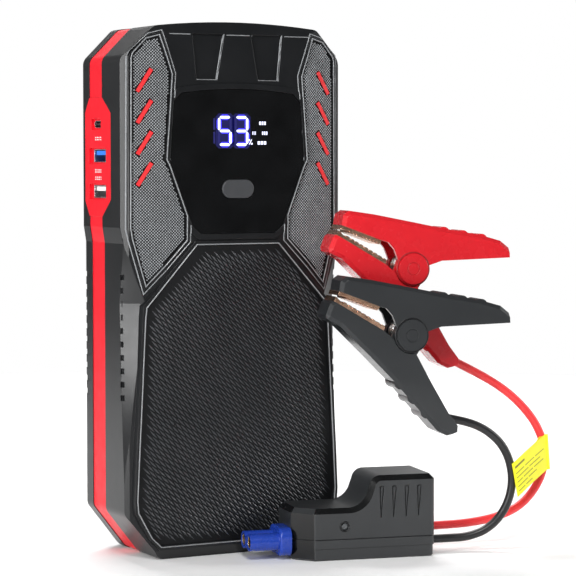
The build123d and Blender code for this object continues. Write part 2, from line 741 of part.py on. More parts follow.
half_l = MODULE_L / 2
half_d = MODULE_D / 2
MODULE_PLAN = [(-half_l + CUT_CORNER, -half_d), (half_l, -half_d), (half_l, half_d),
               (-half_l + BACK_CORNER, half_d), (-half_l, half_d - BACK_CORNER), (-half_l, -half_d + CUT_CORNER)]
MODULE_SIDE = [(-half_l, 0), (half_l, 0), (half_l, MODULE_H), (3.6, MODULE_H), (-1.2, DECK_Z), (-half_l, DECK_Z)]


def module_block(inset, z0, z1):
    """The module's outside, shrunk by inset, between two heights."""
    with BuildPart() as made:
        with BuildSketch(lead_floor(z0)):
            with BuildLine():
                Polyline(*MODULE_PLAN, close=True)
            make_face()
            fillet(vertices(), MODULE_CORNER)
            if inset:
                offset(amount=-inset, kind=Kind.INTERSECTION)
        extrude(amount=z1 - z0)
    return made.part


def module_side(inset):
    """The module's side view with its S-shaped step, as a slab through its whole depth."""
    with BuildPart() as made:
        with BuildSketch(lead_wall(half_d + 1)):
            with BuildLine():
                Polyline(*MODULE_SIDE, close=True)
            side_face = make_face()
            fillet(side_face.vertices().filter_by(lambda v: v.Y > 30 and v.X < 10), 5.0)
            fillet(vertices().filter_by(lambda v: 20 < v.Y < 24 and v.X > -10), 9.0)
            if inset:
                offset(amount=-inset, kind=Kind.INTERSECTION)
        extrude(amount=MODULE_D + 2)
    return made.part


def outlet_tool(radius, along0, along1):
    """Two round bars through the module's right end, where the leads come out."""
    with BuildPart() as made:
        with BuildSketch(lead_end(along0)):
            with Locations(RED_EXIT, BLACK_EXIT):
                Circle(radius)
        extrude(amount=along1 - along0)
    return made.part


def neck_tool(along0, along1):
    """The plug's neck through the module's left end."""
    with BuildPart() as made:
        with BuildSketch(lead_end(along0)):
            with Locations((0, PLUG_Z)):
                RectangleRounded(14.0, 6.0, 1.5)
        extrude(amount=along1 - along0)
    return made.part


with BuildPart() as module_cover:
    add(module_block(0, MODULE_SEAM_Z, MODULE_H) & module_side(0))
    top_edges = module_cover.edges().filter_by(
        lambda e: e.center().Z > MODULE_SEAM_Z + 8 and abs(e.tangent_at(0.5).Z) < 0.97
    )
    chamfer(top_edges, TOP_BEVEL)
    add(module_block(0.6, MODULE_SEAM_Z - SEAM_GAP, MODULE_SEAM_Z))
    add(module_block(MODULE_WALL, 0, MODULE_H) & module_side(MODULE_WALL), mode=Mode.SUBTRACT)
    for face_deep, way in ((-half_d, -1), (half_d, 1)):
        with BuildSketch(lead_wall(face_deep)):
            for along in VENT_SPOTS:
                with BuildLine():
                    Polyline(
                        (along - 1.1, VENT_TOP_Z - 0.4), (along - 0.6, VENT_TOP_Z), (along + 0.6, VENT_TOP_Z),
                        (along + 1.1, VENT_TOP_Z - 0.4), (along - 0.1, VENT_TOP_Z - VENT_H),
                        (along - 0.6, VENT_TOP_Z - VENT_H), close=True,
                    )
                make_face()
            for along in VENT_SPOTS:
                with BuildLine():
                    Polyline(
                        (along - 0.5, VENT_TOP_Z - 0.8), (along + 0.5, VENT_TOP_Z - 0.8),
                        (along - 0.3, VENT_TOP_Z - VENT_H + 3.0), close=True,
                    )
                make_face(mode=Mode.SUBTRACT)
        extrude(amount=0.9 * way, mode=Mode.SUBTRACT)
    with BuildSketch(lead_wall(-half_d)):
        with Locations(LED_SPOT):
            Circle(2.4)
    extrude(amount=-0.7, mode=Mode.SUBTRACT)
    with BuildSketch(lead_wall(-half_d)):
        with Locations(LED_SPOT):
            Circle(1.5)
    extrude(amount=-MODULE_WALL - 1, mode=Mode.SUBTRACT)
    add(outlet_tool(GROMMET_R, half_l - 3, half_l + 2), mode=Mode.SUBTRACT)
    add(neck_tool(-half_l - 1, -half_l + 3), mode=Mode.SUBTRACT)
save(module_cover, "module_cover")

with BuildPart() as module_base:
    add(module_block(0, PLINTH_Z, MODULE_SEAM_Z - SEAM_GAP))
    add(module_block(PLINTH_SINK, 0, PLINTH_Z))
    chamfer(module_base.faces().sort_by(Axis.Z)[0].edges(), 0.8)
    add(module_block(MODULE_WALL, MODULE_WALL, MODULE_SEAM_Z), mode=Mode.SUBTRACT)
    add(outlet_tool(GROMMET_R, half_l - 3, half_l + 2), mode=Mode.SUBTRACT)
    add(neck_tool(-half_l - 1, -half_l + 3), mode=Mode.SUBTRACT)
save(module_base, "module_base")

with BuildPart() as status_led:
    with BuildSketch(lead_wall(-half_d + 3.0)):
        with Locations(LED_SPOT):
            Circle(1.5)
    extrude(amount=2.8)
    fillet(status_led.faces().sort_by(Axis.Y)[0].edges(), 0.6)
save(status_led, "status_led")

with BuildPart() as module_board:
    with BuildSketch(lead_floor(11.6)):
        with Locations((3.0, 0)):
            Rectangle(44.0, 24.0)
    extrude(amount=1.6)
save(module_board, "module_board")

with BuildPart() as relay:
    with BuildSketch(lead_floor(13.2)):
        with Locations((16.0, 0)):
            Rectangle(20.0, 16.0)
    extrude(amount=15.0)
save(relay, "relay")

with BuildPart() as lead_grommets:
    add(outlet_tool(GROMMET_R, half_l - 2.4, half_l + GROMMET_OUT))
save(lead_grommets, "lead_grommets")

# ---- blue plug ----
PLUG_FLANGE_L = 5.2
BARREL_L = 13.2
plug_front = -half_l - PLUG_FLANGE_L
with BuildPart() as plug_body:
    with BuildSketch(lead_end(-half_l)):
        with Locations((0, PLUG_Z)):
            RectangleRounded(19.4, 12.4, 4.2)
    extrude(amount=-PLUG_FLANGE_L)
    fillet(plug_body.edges().filter_by(lambda e: (e.center() - Vector(*lead_point(plug_front, 0, PLUG_Z))).dot(
        Vector(*LEAD_XDIR)) < 0.1), 1.0)
    with BuildSketch(lead_end(plug_front)):
        with Locations(*[(deep, PLUG_Z) for deep in PLUG_DEPTH_SPOTS]):
            Circle(BARREL_R)
        with Locations((0, PLUG_Z)):
            Rectangle(PIN_PITCH, 4.4)
    extrude(amount=-BARREL_L)
    add(neck_tool(-half_l, -half_l + 3))
    with BuildSketch(lead_end(plug_front - BARREL_L)):
        with Locations(*[(deep, PLUG_Z) for deep in PLUG_DEPTH_SPOTS]):
            Circle(2.9)
    extrude(amount=12.0, mode=Mode.SUBTRACT)
save(plug_body, "plug_body")

with BuildPart() as plug_contacts:
    with BuildSketch(lead_end(plug_front - BARREL_L + 0.4)):
        with Locations(*[(deep, PLUG_Z) for deep in PLUG_DEPTH_SPOTS]):
            Circle(2.9)
            Circle(2.5, mode=Mode.SUBTRACT)
    extrude(amount=11.6)
save(plug_contacts, "plug_contacts")

# ---- clamps ----
UPPER = [(-33.0, 19.8), (-32.2, 24.4), (-29.6, 26.2), (-18.0, 24.5), (1.3, 20.7), (14.5, 18.0), (32.0, 15.0),
         (42.0, 12.2), (46.0, 9.0), (46.2, 4.6), (13.7, 3.5), (7.2, 1.4), (-6.8, 3.6), (-8.8, 8.8), (-11.6, 12.0),
         (-14.6, 12.9)]
UPPER_HOLLOW = [(-23.0, 23.2), (1.0, 18.7), (14.2, 16.1), (31.6, 13.1), (43.6, 9.6), (43.8, 0.0), (13.0, -1.0),
                (-9.5, 2.0), (-11.0, 9.0), (-23.0, 13.0)]
LOWER = [(-39.0, 9.6), (-37.0, 14.6), (-35.6, 15.6), (-12.8, 2.2), (-9.6, -0.4), (-7.0, -3.0), (1.6, -7.4),
         (9.2, -21.2), (17.2, -34.8), (21.6, -40.6), (21.4, -43.4), (17.0, -45.0), (12.6, -42.8), (-8.2, -19.6),
         (-18.4, -9.2), (-32.6, 4.6), (-38.6, 7.8)]
LOWER_HOLLOW = [(-29.5, 4.2), (-16.9, -8.0), (-6.9, -18.2), (11.0, -38.0), (15.5, -35.6), (24.0, -34.0),
                (12.0, -12.0), (6.0, 3.0), (-10.0, 5.0), (-29.5, 15.0)]
LOWER_EAR = [(-7.6, 1.5), (-14.6, -11.2), (-5.2, -21.0), (7.6, -2.0)]
UPPER_RIBS = [(15.0, 15.7), (24.0, 14.1), (33.0, 12.4)]
LOWER_RIBS = [(-4.5, -21.0), (1.6, -27.6), (7.7, -34.2)]
RIB_R = 3.0
WALL_HALF = 6.4         # inside half width of the shells
EAR_OUT = 6.2           # the lower shell's ears turn inside the upper shell's walls
EAR_IN = 4.2
UPPER_JAW_LINE = ((-33.0, 19.8), (-14.6, 12.9))
LOWER_JAW_LINE = ((-35.6, 15.6), (-12.8, 2.2))
TOOTH_COUNT = 9
CAP_R = 6.9


def clamp_wall(pivot, out):
    """Upright plane through a clamp, `out` towards its front face: origin on the pivot's axis."""
    along, deep, z = pivot
    return Plane(origin=lead_point(along, deep - out, z), x_dir=LEAD_XDIR, z_dir=LEAD_FRONT)


def clamp_slab(pivot, points, half):
    """A clamp outline carried both ways to +-half."""
    with BuildPart() as made:
        with BuildSketch(clamp_wall(pivot, -half)):
            with BuildLine():
                Polyline(*points, close=True)
            make_face()
        extrude(amount=2 * half)
    return made.part


def clamp_discs(pivot, radius, inner, outer, spots=((0, 0),)):
    """Round plates across a clamp between two half widths, on both sides (one bar when inner is 0)."""
    with BuildPart() as made:
        for start in ((-outer, inner) if inner else (-outer,)):
            with BuildSketch(clamp_wall(pivot, start)):
                with Locations(*spots):
                    Circle(radius)
            extrude(amount=outer - inner if inner else 2 * outer)
    return made.part


def rim_edges(part, pivot, points):
    """A clamp slab's edges along an open run of its outline, on both faces."""
    middles = [((x0 + x1) / 2, (z0 + z1) / 2) for (x0, z0), (x1, z1) in zip(points, points[1:])]

    def on_rim(edge):
        place = edge.center() - Vector(*lead_point(*pivot))
        across = place.dot(Vector(*LEAD_XDIR))
        return any(abs(across - x) + abs(place.Z - z) < 0.05 for x, z in middles)

    return part.edges().filter_by(on_rim)


def jaw_points(line, lip, way):
    """A copper jaw plate in side view: straight on the shell side, toothed on the other, lipped at the tip."""
    (x0, z0), (x1, z1) = line
    length = ((x1 - x0) ** 2 + (z1 - z0) ** 2) ** 0.5
    ux, uz = (x1 - x0) / length, (z1 - z0) / length
    nx, nz = -uz * way, ux * way
    flat, tooth = 1.2, 0.9
    ring = [(x0, z0), (x1, z1), (x1 + nx * flat, z1 + nz * flat)]
    pitch = (length - 4.0) / TOOTH_COUNT
    for index in range(TOOTH_COUNT):
        base = length - index * pitch
        for t, h in ((base - pitch * 0.25, flat + tooth), (base - pitch * 0.75, flat + tooth), (base - pitch, flat)):
            ring.append((x0 + ux * t + nx * h, z0 + uz * t + nz * h))
    ring.append((x0 + nx * lip, z0 + nz * lip))
    return ring


def make_clamp(colour, pivot):
    """The seven solid pieces of one clamp, each written as its own node."""
    with BuildPart() as upper_shell:
        add(clamp_slab(pivot, UPPER, CLAMP_HALF_W))
        chamfer(rim_edges(upper_shell, pivot, UPPER[0:9]), 1.6)
        add(clamp_discs(pivot, RIB_R, 0, CLAMP_HALF_W - 1.6, UPPER_RIBS))
        add(clamp_slab(pivot, UPPER_HOLLOW, WALL_HALF), mode=Mode.SUBTRACT)
        add(clamp_discs(pivot, HUB_R + 0.7, 0, WALL_HALF), mode=Mode.SUBTRACT)
        add(clamp_discs(pivot, HUB_R, WALL_HALF, CLAMP_HALF_W))
        add(clamp_discs(pivot, PIN_R + RUN_GAP, 0, CLAMP_HALF_W + 1), mode=Mode.SUBTRACT)
    save(upper_shell, f"{colour}_upper_shell")

    with BuildPart() as lower_shell:
        add(clamp_slab(pivot, LOWER, CLAMP_HALF_W))
        chamfer(rim_edges(lower_shell, pivot, LOWER[11:] + LOWER[:3]), 1.6)
        add(clamp_discs(pivot, RIB_R, 0, CLAMP_HALF_W - 1.6, LOWER_RIBS))
        add(clamp_slab(pivot, LOWER_HOLLOW, WALL_HALF), mode=Mode.SUBTRACT)
        add(clamp_discs(pivot, HUB_R + 0.4, EAR_OUT, CLAMP_HALF_W + 1), mode=Mode.SUBTRACT)
        ears = clamp_slab(pivot, LOWER_EAR, EAR_OUT) + clamp_discs(pivot, HUB_R, 0, EAR_OUT)
        ears = ears - clamp_slab(pivot, [(-60, -60), (60, -60), (60, 60), (-60, 60)], EAR_IN)
        add(ears)
        add(clamp_discs(pivot, PIN_R, 0, CLAMP_HALF_W + 1), mode=Mode.SUBTRACT)
    save(lower_shell, f"{colour}_lower_shell")

    with BuildPart() as pivot_pin:
        add(clamp_discs(pivot, PIN_R, 0, CLAMP_HALF_W + 0.2))
        add(clamp_discs(pivot, CAP_R, CLAMP_HALF_W + 0.15, CLAMP_HALF_W + 1.0))
        ring = clamp_discs(pivot, 3.0, CLAMP_HALF_W + 0.7, CLAMP_HALF_W + 1.1)
        ring = ring - clamp_discs(pivot, 2.5, CLAMP_HALF_W + 0.6, CLAMP_HALF_W + 1.2)
        add(ring, mode=Mode.SUBTRACT)
    save(pivot_pin, f"{colour}_pivot")

    with BuildPart() as upper_jaw:
        add(clamp_slab(pivot, jaw_points(UPPER_JAW_LINE, 1.9, -1), WALL_HALF + 0.8))
    save(upper_jaw, f"{colour}_upper_jaw")

    with BuildPart() as lower_jaw:
        add(clamp_slab(pivot, jaw_points(LOWER_JAW_LINE, 2.2, 1), WALL_HALF + 0.8))
    save(lower_jaw, f"{colour}_lower_jaw")

    with BuildPart() as spring:
        for out in (-3.0, -1.0, 1.0, 3.0):
            with BuildSketch(clamp_wall(pivot, out - SPRING_WIRE_R)):
                Circle(SPRING_R + SPRING_WIRE_R)
                Circle(SPRING_R - SPRING_WIRE_R, mode=Mode.SUBTRACT)
            extrude(amount=2 * SPRING_WIRE_R)
    save(spring, f"{colour}_spring")

    with BuildPart() as strip:
        add(clamp_slab(pivot, STRIP, 2.5))
    save(strip, f"{colour}_conductor")


SPRING_R = 7.2
SPRING_WIRE_R = 0.65
STRIP = [(-15.6, -8.2), (-6.4, -17.5), (10.0, -36.0), (11.0, -35.2), (-5.6, -16.6), (-14.8, -7.2)]
make_clamp("red", RED_PIVOT)
make_clamp("black", BLACK_PIVOT)

# ---- leads: straight runs joined by tangent arcs, in the lead set's frame (along, deep, up) ----
RED_ROUTE = [
    (32.8, 4.2, 10.4), (43.4, 4.2, 10.4), (57.2, 4.8, 10.9), (70.6, 5.8, 12.9), (82.4, 6.4, 17.9),
    (91.2, 7.0, 28.4), (94.4, 7.6, 41.0), (90.0, 8.2, 54.0), (81.8, 8.8, 64.2), (72.4, 9.3, 72.0),
    (61.0, 9.4, 78.6), (48.0, 9.4, 85.1),
]
BLACK_ROUTE = [
    (32.8, -4.2, 5.8), (41.0, -4.2, 5.8), (51.6, -4.8, 6.0), (61.2, -5.9, 9.6), (68.4, -6.6, 17.4),
    (71.8, -7.3, 27.6), (71.0, -7.9, 38.2), (66.6, -8.5, 47.6), (58.8, -9.0, 54.6), (48.8, -9.4, 59.0),
    (38.0, -9.4, 61.0),
]


def lead_radii(points):
    """Arc radius at each inner point: 0.45 of the shorter run over the tangent of half the turn."""
    radii = []
    for before, here, after in zip(points, points[1:], points[2:]):
        first, second = Vector(*here) - Vector(*before), Vector(*after) - Vector(*here)
        half_turn = radians(first.get_angle(second)) / 2
        radii.append(0.45 * min(first.length, second.length) / tan(half_turn))
    return radii


def make_lead(name, route):
    """One flexible lead as a plain round tube along its route."""
    points = [lead_point(*place) for place in route]
    radii = lead_radii(points)
    with BuildLine() as path:
        FilletPolyline(*points, radius=radii)
    with BuildPart() as tube:
        with BuildSketch(Plane(origin=points[0], z_dir=path.line @ 0.001 - path.line @ 0)):
            Circle(LEAD_D / 2)
        sweep(path=path.line)
    length = sum(edge.length for edge in path.edges())
    print(name, "length", round(length, 1), "smallest radius", round(min(radii), 1),
          "volume ratio", round(tube.part.volume / (pi * LEAD_D**2 / 4 * length), 4))
    save(tube, name)


make_lead("red_lead", RED_ROUTE)
make_lead("black_lead", BLACK_ROUTE)

# ---- folded warning tag on the red lead ----
TAG = [(75.5, 39.0), (87.0, 46.4), (93.6, 49.8), (94.4, 34.4), (89.6, 31.2), (78.4, 24.0)]
TAG_T = 0.8
TAG_DEPTH = 7.7
with BuildPart() as warning_tag:
    with BuildSketch(lead_wall(TAG_DEPTH + TAG_T / 2)):
        with BuildLine():
            Polyline(*TAG, close=True)
        make_face()
    extrude(amount=TAG_T)
    with BuildSketch(Plane(origin=lead_point(93.0, 7.6, 34.8), z_dir=(0, 0, 1))):
        Circle(LEAD_D / 2 + 0.5)
    extrude(amount=15.4)
save(warning_tag, "warning_tag")
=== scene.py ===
import math

import bpy
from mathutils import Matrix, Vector
from mathutils.bvhtree import BVHTree


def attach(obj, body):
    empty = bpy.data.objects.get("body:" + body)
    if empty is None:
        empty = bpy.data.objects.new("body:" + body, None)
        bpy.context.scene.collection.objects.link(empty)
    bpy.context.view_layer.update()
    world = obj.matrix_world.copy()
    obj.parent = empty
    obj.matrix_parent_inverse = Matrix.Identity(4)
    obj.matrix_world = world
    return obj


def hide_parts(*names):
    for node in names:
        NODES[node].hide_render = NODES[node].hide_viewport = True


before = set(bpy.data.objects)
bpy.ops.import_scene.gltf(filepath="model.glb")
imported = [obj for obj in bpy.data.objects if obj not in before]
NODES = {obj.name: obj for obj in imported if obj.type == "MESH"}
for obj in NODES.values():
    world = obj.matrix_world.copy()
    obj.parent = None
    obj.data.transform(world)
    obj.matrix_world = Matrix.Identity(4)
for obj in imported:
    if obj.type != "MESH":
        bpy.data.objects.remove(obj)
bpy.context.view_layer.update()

# A jump starter pack with its lead set. The CAD nodes get their finishes here, and the fine surface work is
# added as pieces: knurl, ridged panel, raised lines, display, springs, rings, leads, tag, bevels, port marks.
MM = 0.001

# ---------------- places, in the same millimetres as the CAD ----------------
LENS_Y = -27.7
PANEL_FACE_Y = -27.9
PORT_Y = 3.0
FAR_FRONT = -60.0               # where rays start that look for a surface from outside
FAR_BACK = 60.0
FAR_LEFT = -80.0
YAW = math.radians(-12.0)
LEAD_ORIGIN = (47.0, -50.6)
RED_PIVOT = (27.2, 9.4, 126.8)
BLACK_PIVOT = (20.2, -9.4, 98.6)
LEAD_D = 3.8

WING = [(38.0, 229.0), (43.2, 227.6), (48.9, 221.4), (49.4, 219.4), (49.8, 145.6), (49.0, 141.0),
        (43.6, 121.6), (25.4, 140.6), (25.4, 151.0), (33.4, 172.0), (35.2, 175.6), (32.4, 212.6)]
PANEL = [(20.0, 138.0), (44.0, 111.2), (44.6, 106.0), (46.2, 74.0), (47.8, 44.0), (48.6, 27.0), (48.2, 22.0),
         (41.8, 10.6), (37.6, 6.6)]
BAR_TOP = (41.0, 214.8)
BAR_RUN = (6.1, -9.8)
BAR_PITCH = 13.55
BAR_HALF = 0.85
BAR_ROWS = 4
BAR_CLEARANCE = 0.35            # bare strip between a bar and the knurl

KNURL_PITCH = 1.33
KNURL_FILL = 0.70
KNURL_HIGH = 0.34
RIDGE_LONG = 6.0                # the lower panel's slanting ridges
RIDGE_PITCH = 2.1
RIDGE_FILL = 0.42
RIDGE_HIGH = 0.26
RIDGE_TURN = math.radians(-45.0)
FACET_X = 31.6                  # past this the lower panel slopes back towards its sides
FACET_SLOPE = 0.065
FOOT_Z = 26.0                   # below this it slopes back towards its foot
FOOT_SLOPE = 0.035

LINE_HIGH = 0.34
LINE_SINK = 0.08                # how far a raised line's edges go into the surface below
LINE_STEP = 2.0
LINE_SECTION = [(-0.5, 0.0), (-0.32, 0.75), (0.0, 1.0), (0.32, 0.75), (0.5, 0.0)]
TAB = [(22.0, 230.6), (20.1, 210.6), (10.1, 210.6), (6.6, 230.6)]
TAB_LINE_Z = 230.2
BACK_EDGE = [(28.5, 221.0), (44.5, 205.0), (44.5, 32.0), (28.5, 16.0)]
BACK_PLATE = [(-21.0, 96.0), (21.0, 96.0), (21.0, 66.0), (-21.0, 66.0)]
BACK_RIB_X = 18.0
BACK_RIB_Z = 176.0
BACK_RIB_PITCH = 3.2
BACK_RIBS = 7

DIGIT_W = 5.6
DIGIT_TOP = 194.2
DIGIT_LOW = 182.2
DIGITS = [("5", -9.2), ("3", -1.0)]
UNLIT_ONE = -17.2               # left edge of the unlit third digit, which can only show a one
LIT_SEGMENTS = {"5": "acdfg", "3": "abcdg"}
LIT_HALF = 0.52                 # half widths of the segments
HALO_HALF = 1.15
DARK_HALF = 0.50
DARK_ONE_HALF = 0.40
BLOOM_MARGIN = 1.7
BLOOM_CUT = 1.5
DISPLAY_SINK = 0.02             # how far the display's plates go into the lens
INDICATORS = [(10.6, 191.7, 3.6), (7.2, 187.3, 2.0), (12.0, 187.3, 3.0), (9.8, 183.0, 4.6)]
MARK_ROWS = [(184.9, (1.3, 0.8, 1.5, 1.0)), (170.6, (1.1, 1.4, 0.7, 1.5)), (167.4, (0.8, 1.6, 1.2, 1.0))]

# ---------------- places in the lead set's own frame: along, deep, up ----------------
RED_ROUTE = [
    (32.8, 4.2, 10.4), (43.4, 4.2, 10.4), (57.2, 4.8, 10.9), (70.6, 5.8, 12.9), (82.4, 6.4, 17.9),
    (91.2, 7.0, 28.4), (94.4, 7.6, 41.0), (90.0, 8.2, 54.0), (81.8, 8.8, 64.2), (72.4, 9.3, 72.0),
    (61.0, 9.4, 78.6), (48.0, 9.4, 85.1),
]
BLACK_ROUTE = [
    (32.8, -4.2, 5.8), (41.0, -4.2, 5.8), (51.6, -4.8, 6.0), (61.2, -5.9, 9.6), (68.4, -6.6, 17.4),
    (71.8, -7.3, 27.6), (71.0, -7.9, 38.2), (66.6, -8.5, 47.6), (58.8, -9.0, 54.6), (48.8, -9.4, 59.0),
    (38.0, -9.4, 61.0),
]
TAG_FREE = (75.5, 39.0)         # the tag's top corner at its free end: along, up
TAG_FREE_DROP = (2.9, -15.0)    # from there to the corner below
TAG_HELD = (93.2, 49.7)         # its top corner at the lead
TAG_HELD_DROP = (1.2, -16.1)
TAG_FREE_DEEP = -10.6
TAG_DEEP_RUN = 15.9
TAG_CURL = 1.35
TAG_BULGE = 0.5
TAG_GAP = 0.45                  # between its two leaves
TAG_LOOP = 4.2                  # how much wider they part round the lead
TAG_LOOP_START = 0.72
TAG_SLANT = 0.285               # how far the tag leans along the leads for each step deeper
TAG_LEAD_DEEP = 7.6             # the red lead's depth where the tag is folded round it
TAG_LINES = [                   # place down the tag, thickness, runs from its free end, all as shares of it
    (0.14, 0.06, [(0.06, 0.34)]),
    (0.34, 0.022, [(0.06, 0.30), (0.34, 0.62), (0.66, 0.93)]),
    (0.47, 0.022, [(0.06, 0.42), (0.46, 0.80)]),
    (0.60, 0.022, [(0.06, 0.22), (0.26, 0.55), (0.59, 0.90)]),
    (0.73, 0.022, [(0.06, 0.36), (0.40, 0.66)]),
    (0.86, 0.022, [(0.06, 0.26), (0.30, 0.50)]),
]
SPRING_R = 7.0
SPRING_HALF = 3.3
SPRING_START = math.radians(205.0)
SPRING_TURNS = 4.6
SPRING_STEPS = 150
SPRING_LEG = [(-14.0, -6.6), (-9.0, -2.0)]      # along and up from the pivot
WIRE_R = 0.62
HUB_R = 7.8
CLAMP_HALF = 8.2
HUB_SECTION = [(-0.5, -0.1), (-0.3, 1.0), (0.3, 1.0), (0.5, -0.1)]
STATUS_SPOT = (-9.8, -15.5, 15.0)
STATUS_SECTION = [(1.75, -0.1), (1.85, 0.15), (2.25, 0.15), (2.40, -0.1)]
MODULE_END = 29.0               # further than this from the module's middle is one of its ends
BEVEL_LIFT = 0.02

# ---------------- the studio, in metres ----------------
TARGET = (0.02, -0.02, 0.11)
AMBIENT = 0.12
FLOOR_R = 0.85
FLOOR_SIDES = 48


def lead(along, deep, up):
    """A place in the lead set's frame, in the pack's frame, mm."""
    return (LEAD_ORIGIN[0] + along * math.cos(YAW) - deep * math.sin(YAW),
            LEAD_ORIGIN[1] + along * math.sin(YAW) + deep * math.cos(YAW), up)


def lead_offset(middle, reach, turn):
    """A place at some distance from another in the lead set's level plane."""
    along, deep = math.cos(turn) * reach, math.sin(turn) * reach
    return (middle[0] + along * math.cos(YAW) - deep * math.sin(YAW),
            middle[1] + along * math.sin(YAW) + deep * math.cos(YAW), middle[2])


def both(points):
    """A right-half outline closed with its mirror image."""
    return list(points) + [(-x, z) for x, z in reversed(points)]


# ---------------- materials ----------------
def new_material(name):
    """A material with its node tree, shader, and the object's own coordinates."""
    material = bpy.data.materials.new(name)
    material.use_nodes = True
    tree = material.node_tree
    coords = tree.nodes.new("ShaderNodeTexCoord").outputs["Object"]
    return material, tree, tree.nodes["Principled BSDF"], coords


def noise(tree, coords, size_mm, detail):
    """The value of a noise whose features are about size_mm across."""
    node = tree.nodes.new("ShaderNodeTexNoise")
    node.inputs["Scale"].default_value = 1.0 / (size_mm * MM)
    node.inputs["Detail"].default_value = detail
    tree.links.new(coords, node.inputs["Vector"])
    return node.outputs["Fac"]


def spread(tree, source, low, high):
    """Maps noise (0.3 to 0.7) onto low to high."""
    node = tree.nodes.new("ShaderNodeMapRange")
    node.inputs["From Min"].default_value = 0.3
    node.inputs["From Max"].default_value = 0.7
    node.inputs["To Min"].default_value = low
    node.inputs["To Max"].default_value = high
    tree.links.new(source, node.inputs["Value"])
    return node.outputs["Result"]


def surface(name, colour, rough, metal=0.0, grain=0.25, grain_mm=0.22, mottle=0.10, mottle_mm=14.0, coat=0.0,
            bevel_mm=0.3, rough_spread=0.06, specular=0.5):
    """A moulded, rubbery or metal finish: fine grain in relief, slight mottling, softened edges."""
    material, tree, shader, coords = new_material(name)
    patches = noise(tree, coords, mottle_mm, 3.0)
    ramp = tree.nodes.new("ShaderNodeValToRGB")
    ramp.color_ramp.elements[0].position = 0.3
    ramp.color_ramp.elements[1].position = 0.7
    ramp.color_ramp.elements[0].color = [c * (1 - mottle) for c in colour[:3]] + [1.0]
    ramp.color_ramp.elements[1].color = [min(1.0, c * (1 + mottle) + 0.002) for c in colour[:3]] + [1.0]
    tree.links.new(patches, ramp.inputs["Fac"])
    tree.links.new(ramp.outputs["Color"], shader.inputs["Base Color"])
    smears = noise(tree, coords, 5.0, 4.0)
    roughness = spread(tree, smears, rough - rough_spread, rough + rough_spread)
    tree.links.new(roughness, shader.inputs["Roughness"])
    grains = noise(tree, coords, grain_mm, 2.0)
    bump = tree.nodes.new("ShaderNodeBump")
    bump.inputs["Strength"].default_value = grain
    bump.inputs["Distance"].default_value = 0.03 * MM
    tree.links.new(grains, bump.inputs["Height"])
    if bevel_mm:
        edge = tree.nodes.new("ShaderNodeBevel")
        edge.samples = 4
        edge.inputs["Radius"].default_value = bevel_mm * MM
        tree.links.new(edge.outputs["Normal"], bump.inputs["Normal"])
    tree.links.new(bump.outputs["Normal"], shader.inputs["Normal"])
    shader.inputs["Metallic"].default_value = metal
    shader.inputs["Specular IOR Level"].default_value = specular
    if coat:
        shader.inputs["Coat Weight"].default_value = coat
        shader.inputs["Coat Roughness"].default_value = 0.08
    return material


def glowing(name, colour, strength):
    """A lit part of the display."""
    material, tree, shader, coords = new_material(name)
    shader.inputs["Base Color"].default_value = [c * 0.3 for c in colour] + [1.0]
    shader.inputs["Roughness"].default_value = 0.4
    shader.inputs["Emission Strength"].default_value = strength
    patches = noise(tree, coords, 1.2, 1.0)
    ramp = tree.nodes.new("ShaderNodeValToRGB")
    ramp.color_ramp.elements[0].color = [c * 0.85 for c in colour] + [1.0]
    ramp.color_ramp.elements[1].color = list(colour) + [1.0]
    tree.links.new(patches, ramp.inputs["Fac"])
    tree.links.new(ramp.outputs["Color"], shader.inputs["Emission Color"])
    return material


CASE = surface("case_charcoal_mat", (0.0050, 0.0056, 0.0066), 0.32, grain=0.25, mottle=0.08, specular=0.42,
               rough_spread=0.015)
# The front raised lines are the case's black plastic; their light grey colour is a painted highlight along
# their edges.
CASE_LINE_HIGHLIGHT = surface("case_line_painted_highlight_mat", (0.25, 0.26, 0.27), 0.24, grain=0.2, specular=0.8)
# The knurl points are black rubber; their light grey is a painted highlight. The wing base is black, made
# darker than the case as painted shade between the points.
KNURL_PAINTED_HIGHLIGHT = surface("knurl_painted_highlight_mat", (0.33, 0.345, 0.36), 0.26, grain=0.1, bevel_mm=0.0, specular=0.8)
WING_BLACK_AND_SHADE = surface("wing_black_and_painted_shade_mat", (0.0028, 0.0030, 0.0034), 0.55, grain=0.2, bevel_mm=0.0, specular=0.2)
PANEL_MAT = surface("panel_mat", (0.0032, 0.0036, 0.0044), 0.50, grain=0.1, bevel_mm=0.0, specular=0.25)
# The panel's ridges are lighter than its sheet: a painted highlight along the ridges.
WEAVE_HIGHLIGHT = surface("weave_painted_highlight_mat", (0.026, 0.029, 0.034), 0.32, grain=0.1, bevel_mm=0.0, specular=0.6)
BAND = surface("band_red_mat", (0.68, 0.0032, 0.014), 0.40, grain=0.3, mottle=0.05, specular=0.25)
BARS = surface("bar_red_mat", (0.70, 0.030, 0.035), 0.30, grain=0.2, mottle=0.06)
LENS = surface("lens_mat", (0.0016, 0.0018, 0.0022), 0.07, grain=0.0, coat=0.3, mottle=0.3, rough_spread=0.02,
               specular=0.35)
BUTTON = surface("button_mat", (0.040, 0.042, 0.046), 0.45, grain=0.4)
STEEL = surface("steel_mat", (0.62, 0.63, 0.64), 0.28, metal=1.0, grain=0.3, mottle=0.08)
SHELL_STEEL = surface("port_steel_mat", (0.55, 0.55, 0.57), 0.3, metal=1.0, grain=0.3)
BRASS = surface("brass_mat", (0.86, 0.68, 0.32), 0.24, metal=1.0, grain=0.2, mottle=0.12)
COPPER = surface("copper_mat", (0.98, 0.56, 0.38), 0.20, metal=1.0, grain=0.35, mottle=0.15, mottle_mm=3.0)
BOARD = surface("board_mat", (0.010, 0.085, 0.035), 0.4, grain=0.5, mottle=0.2, mottle_mm=4.0)
PART = surface("part_mat", (0.015, 0.015, 0.017), 0.5, grain=0.4)
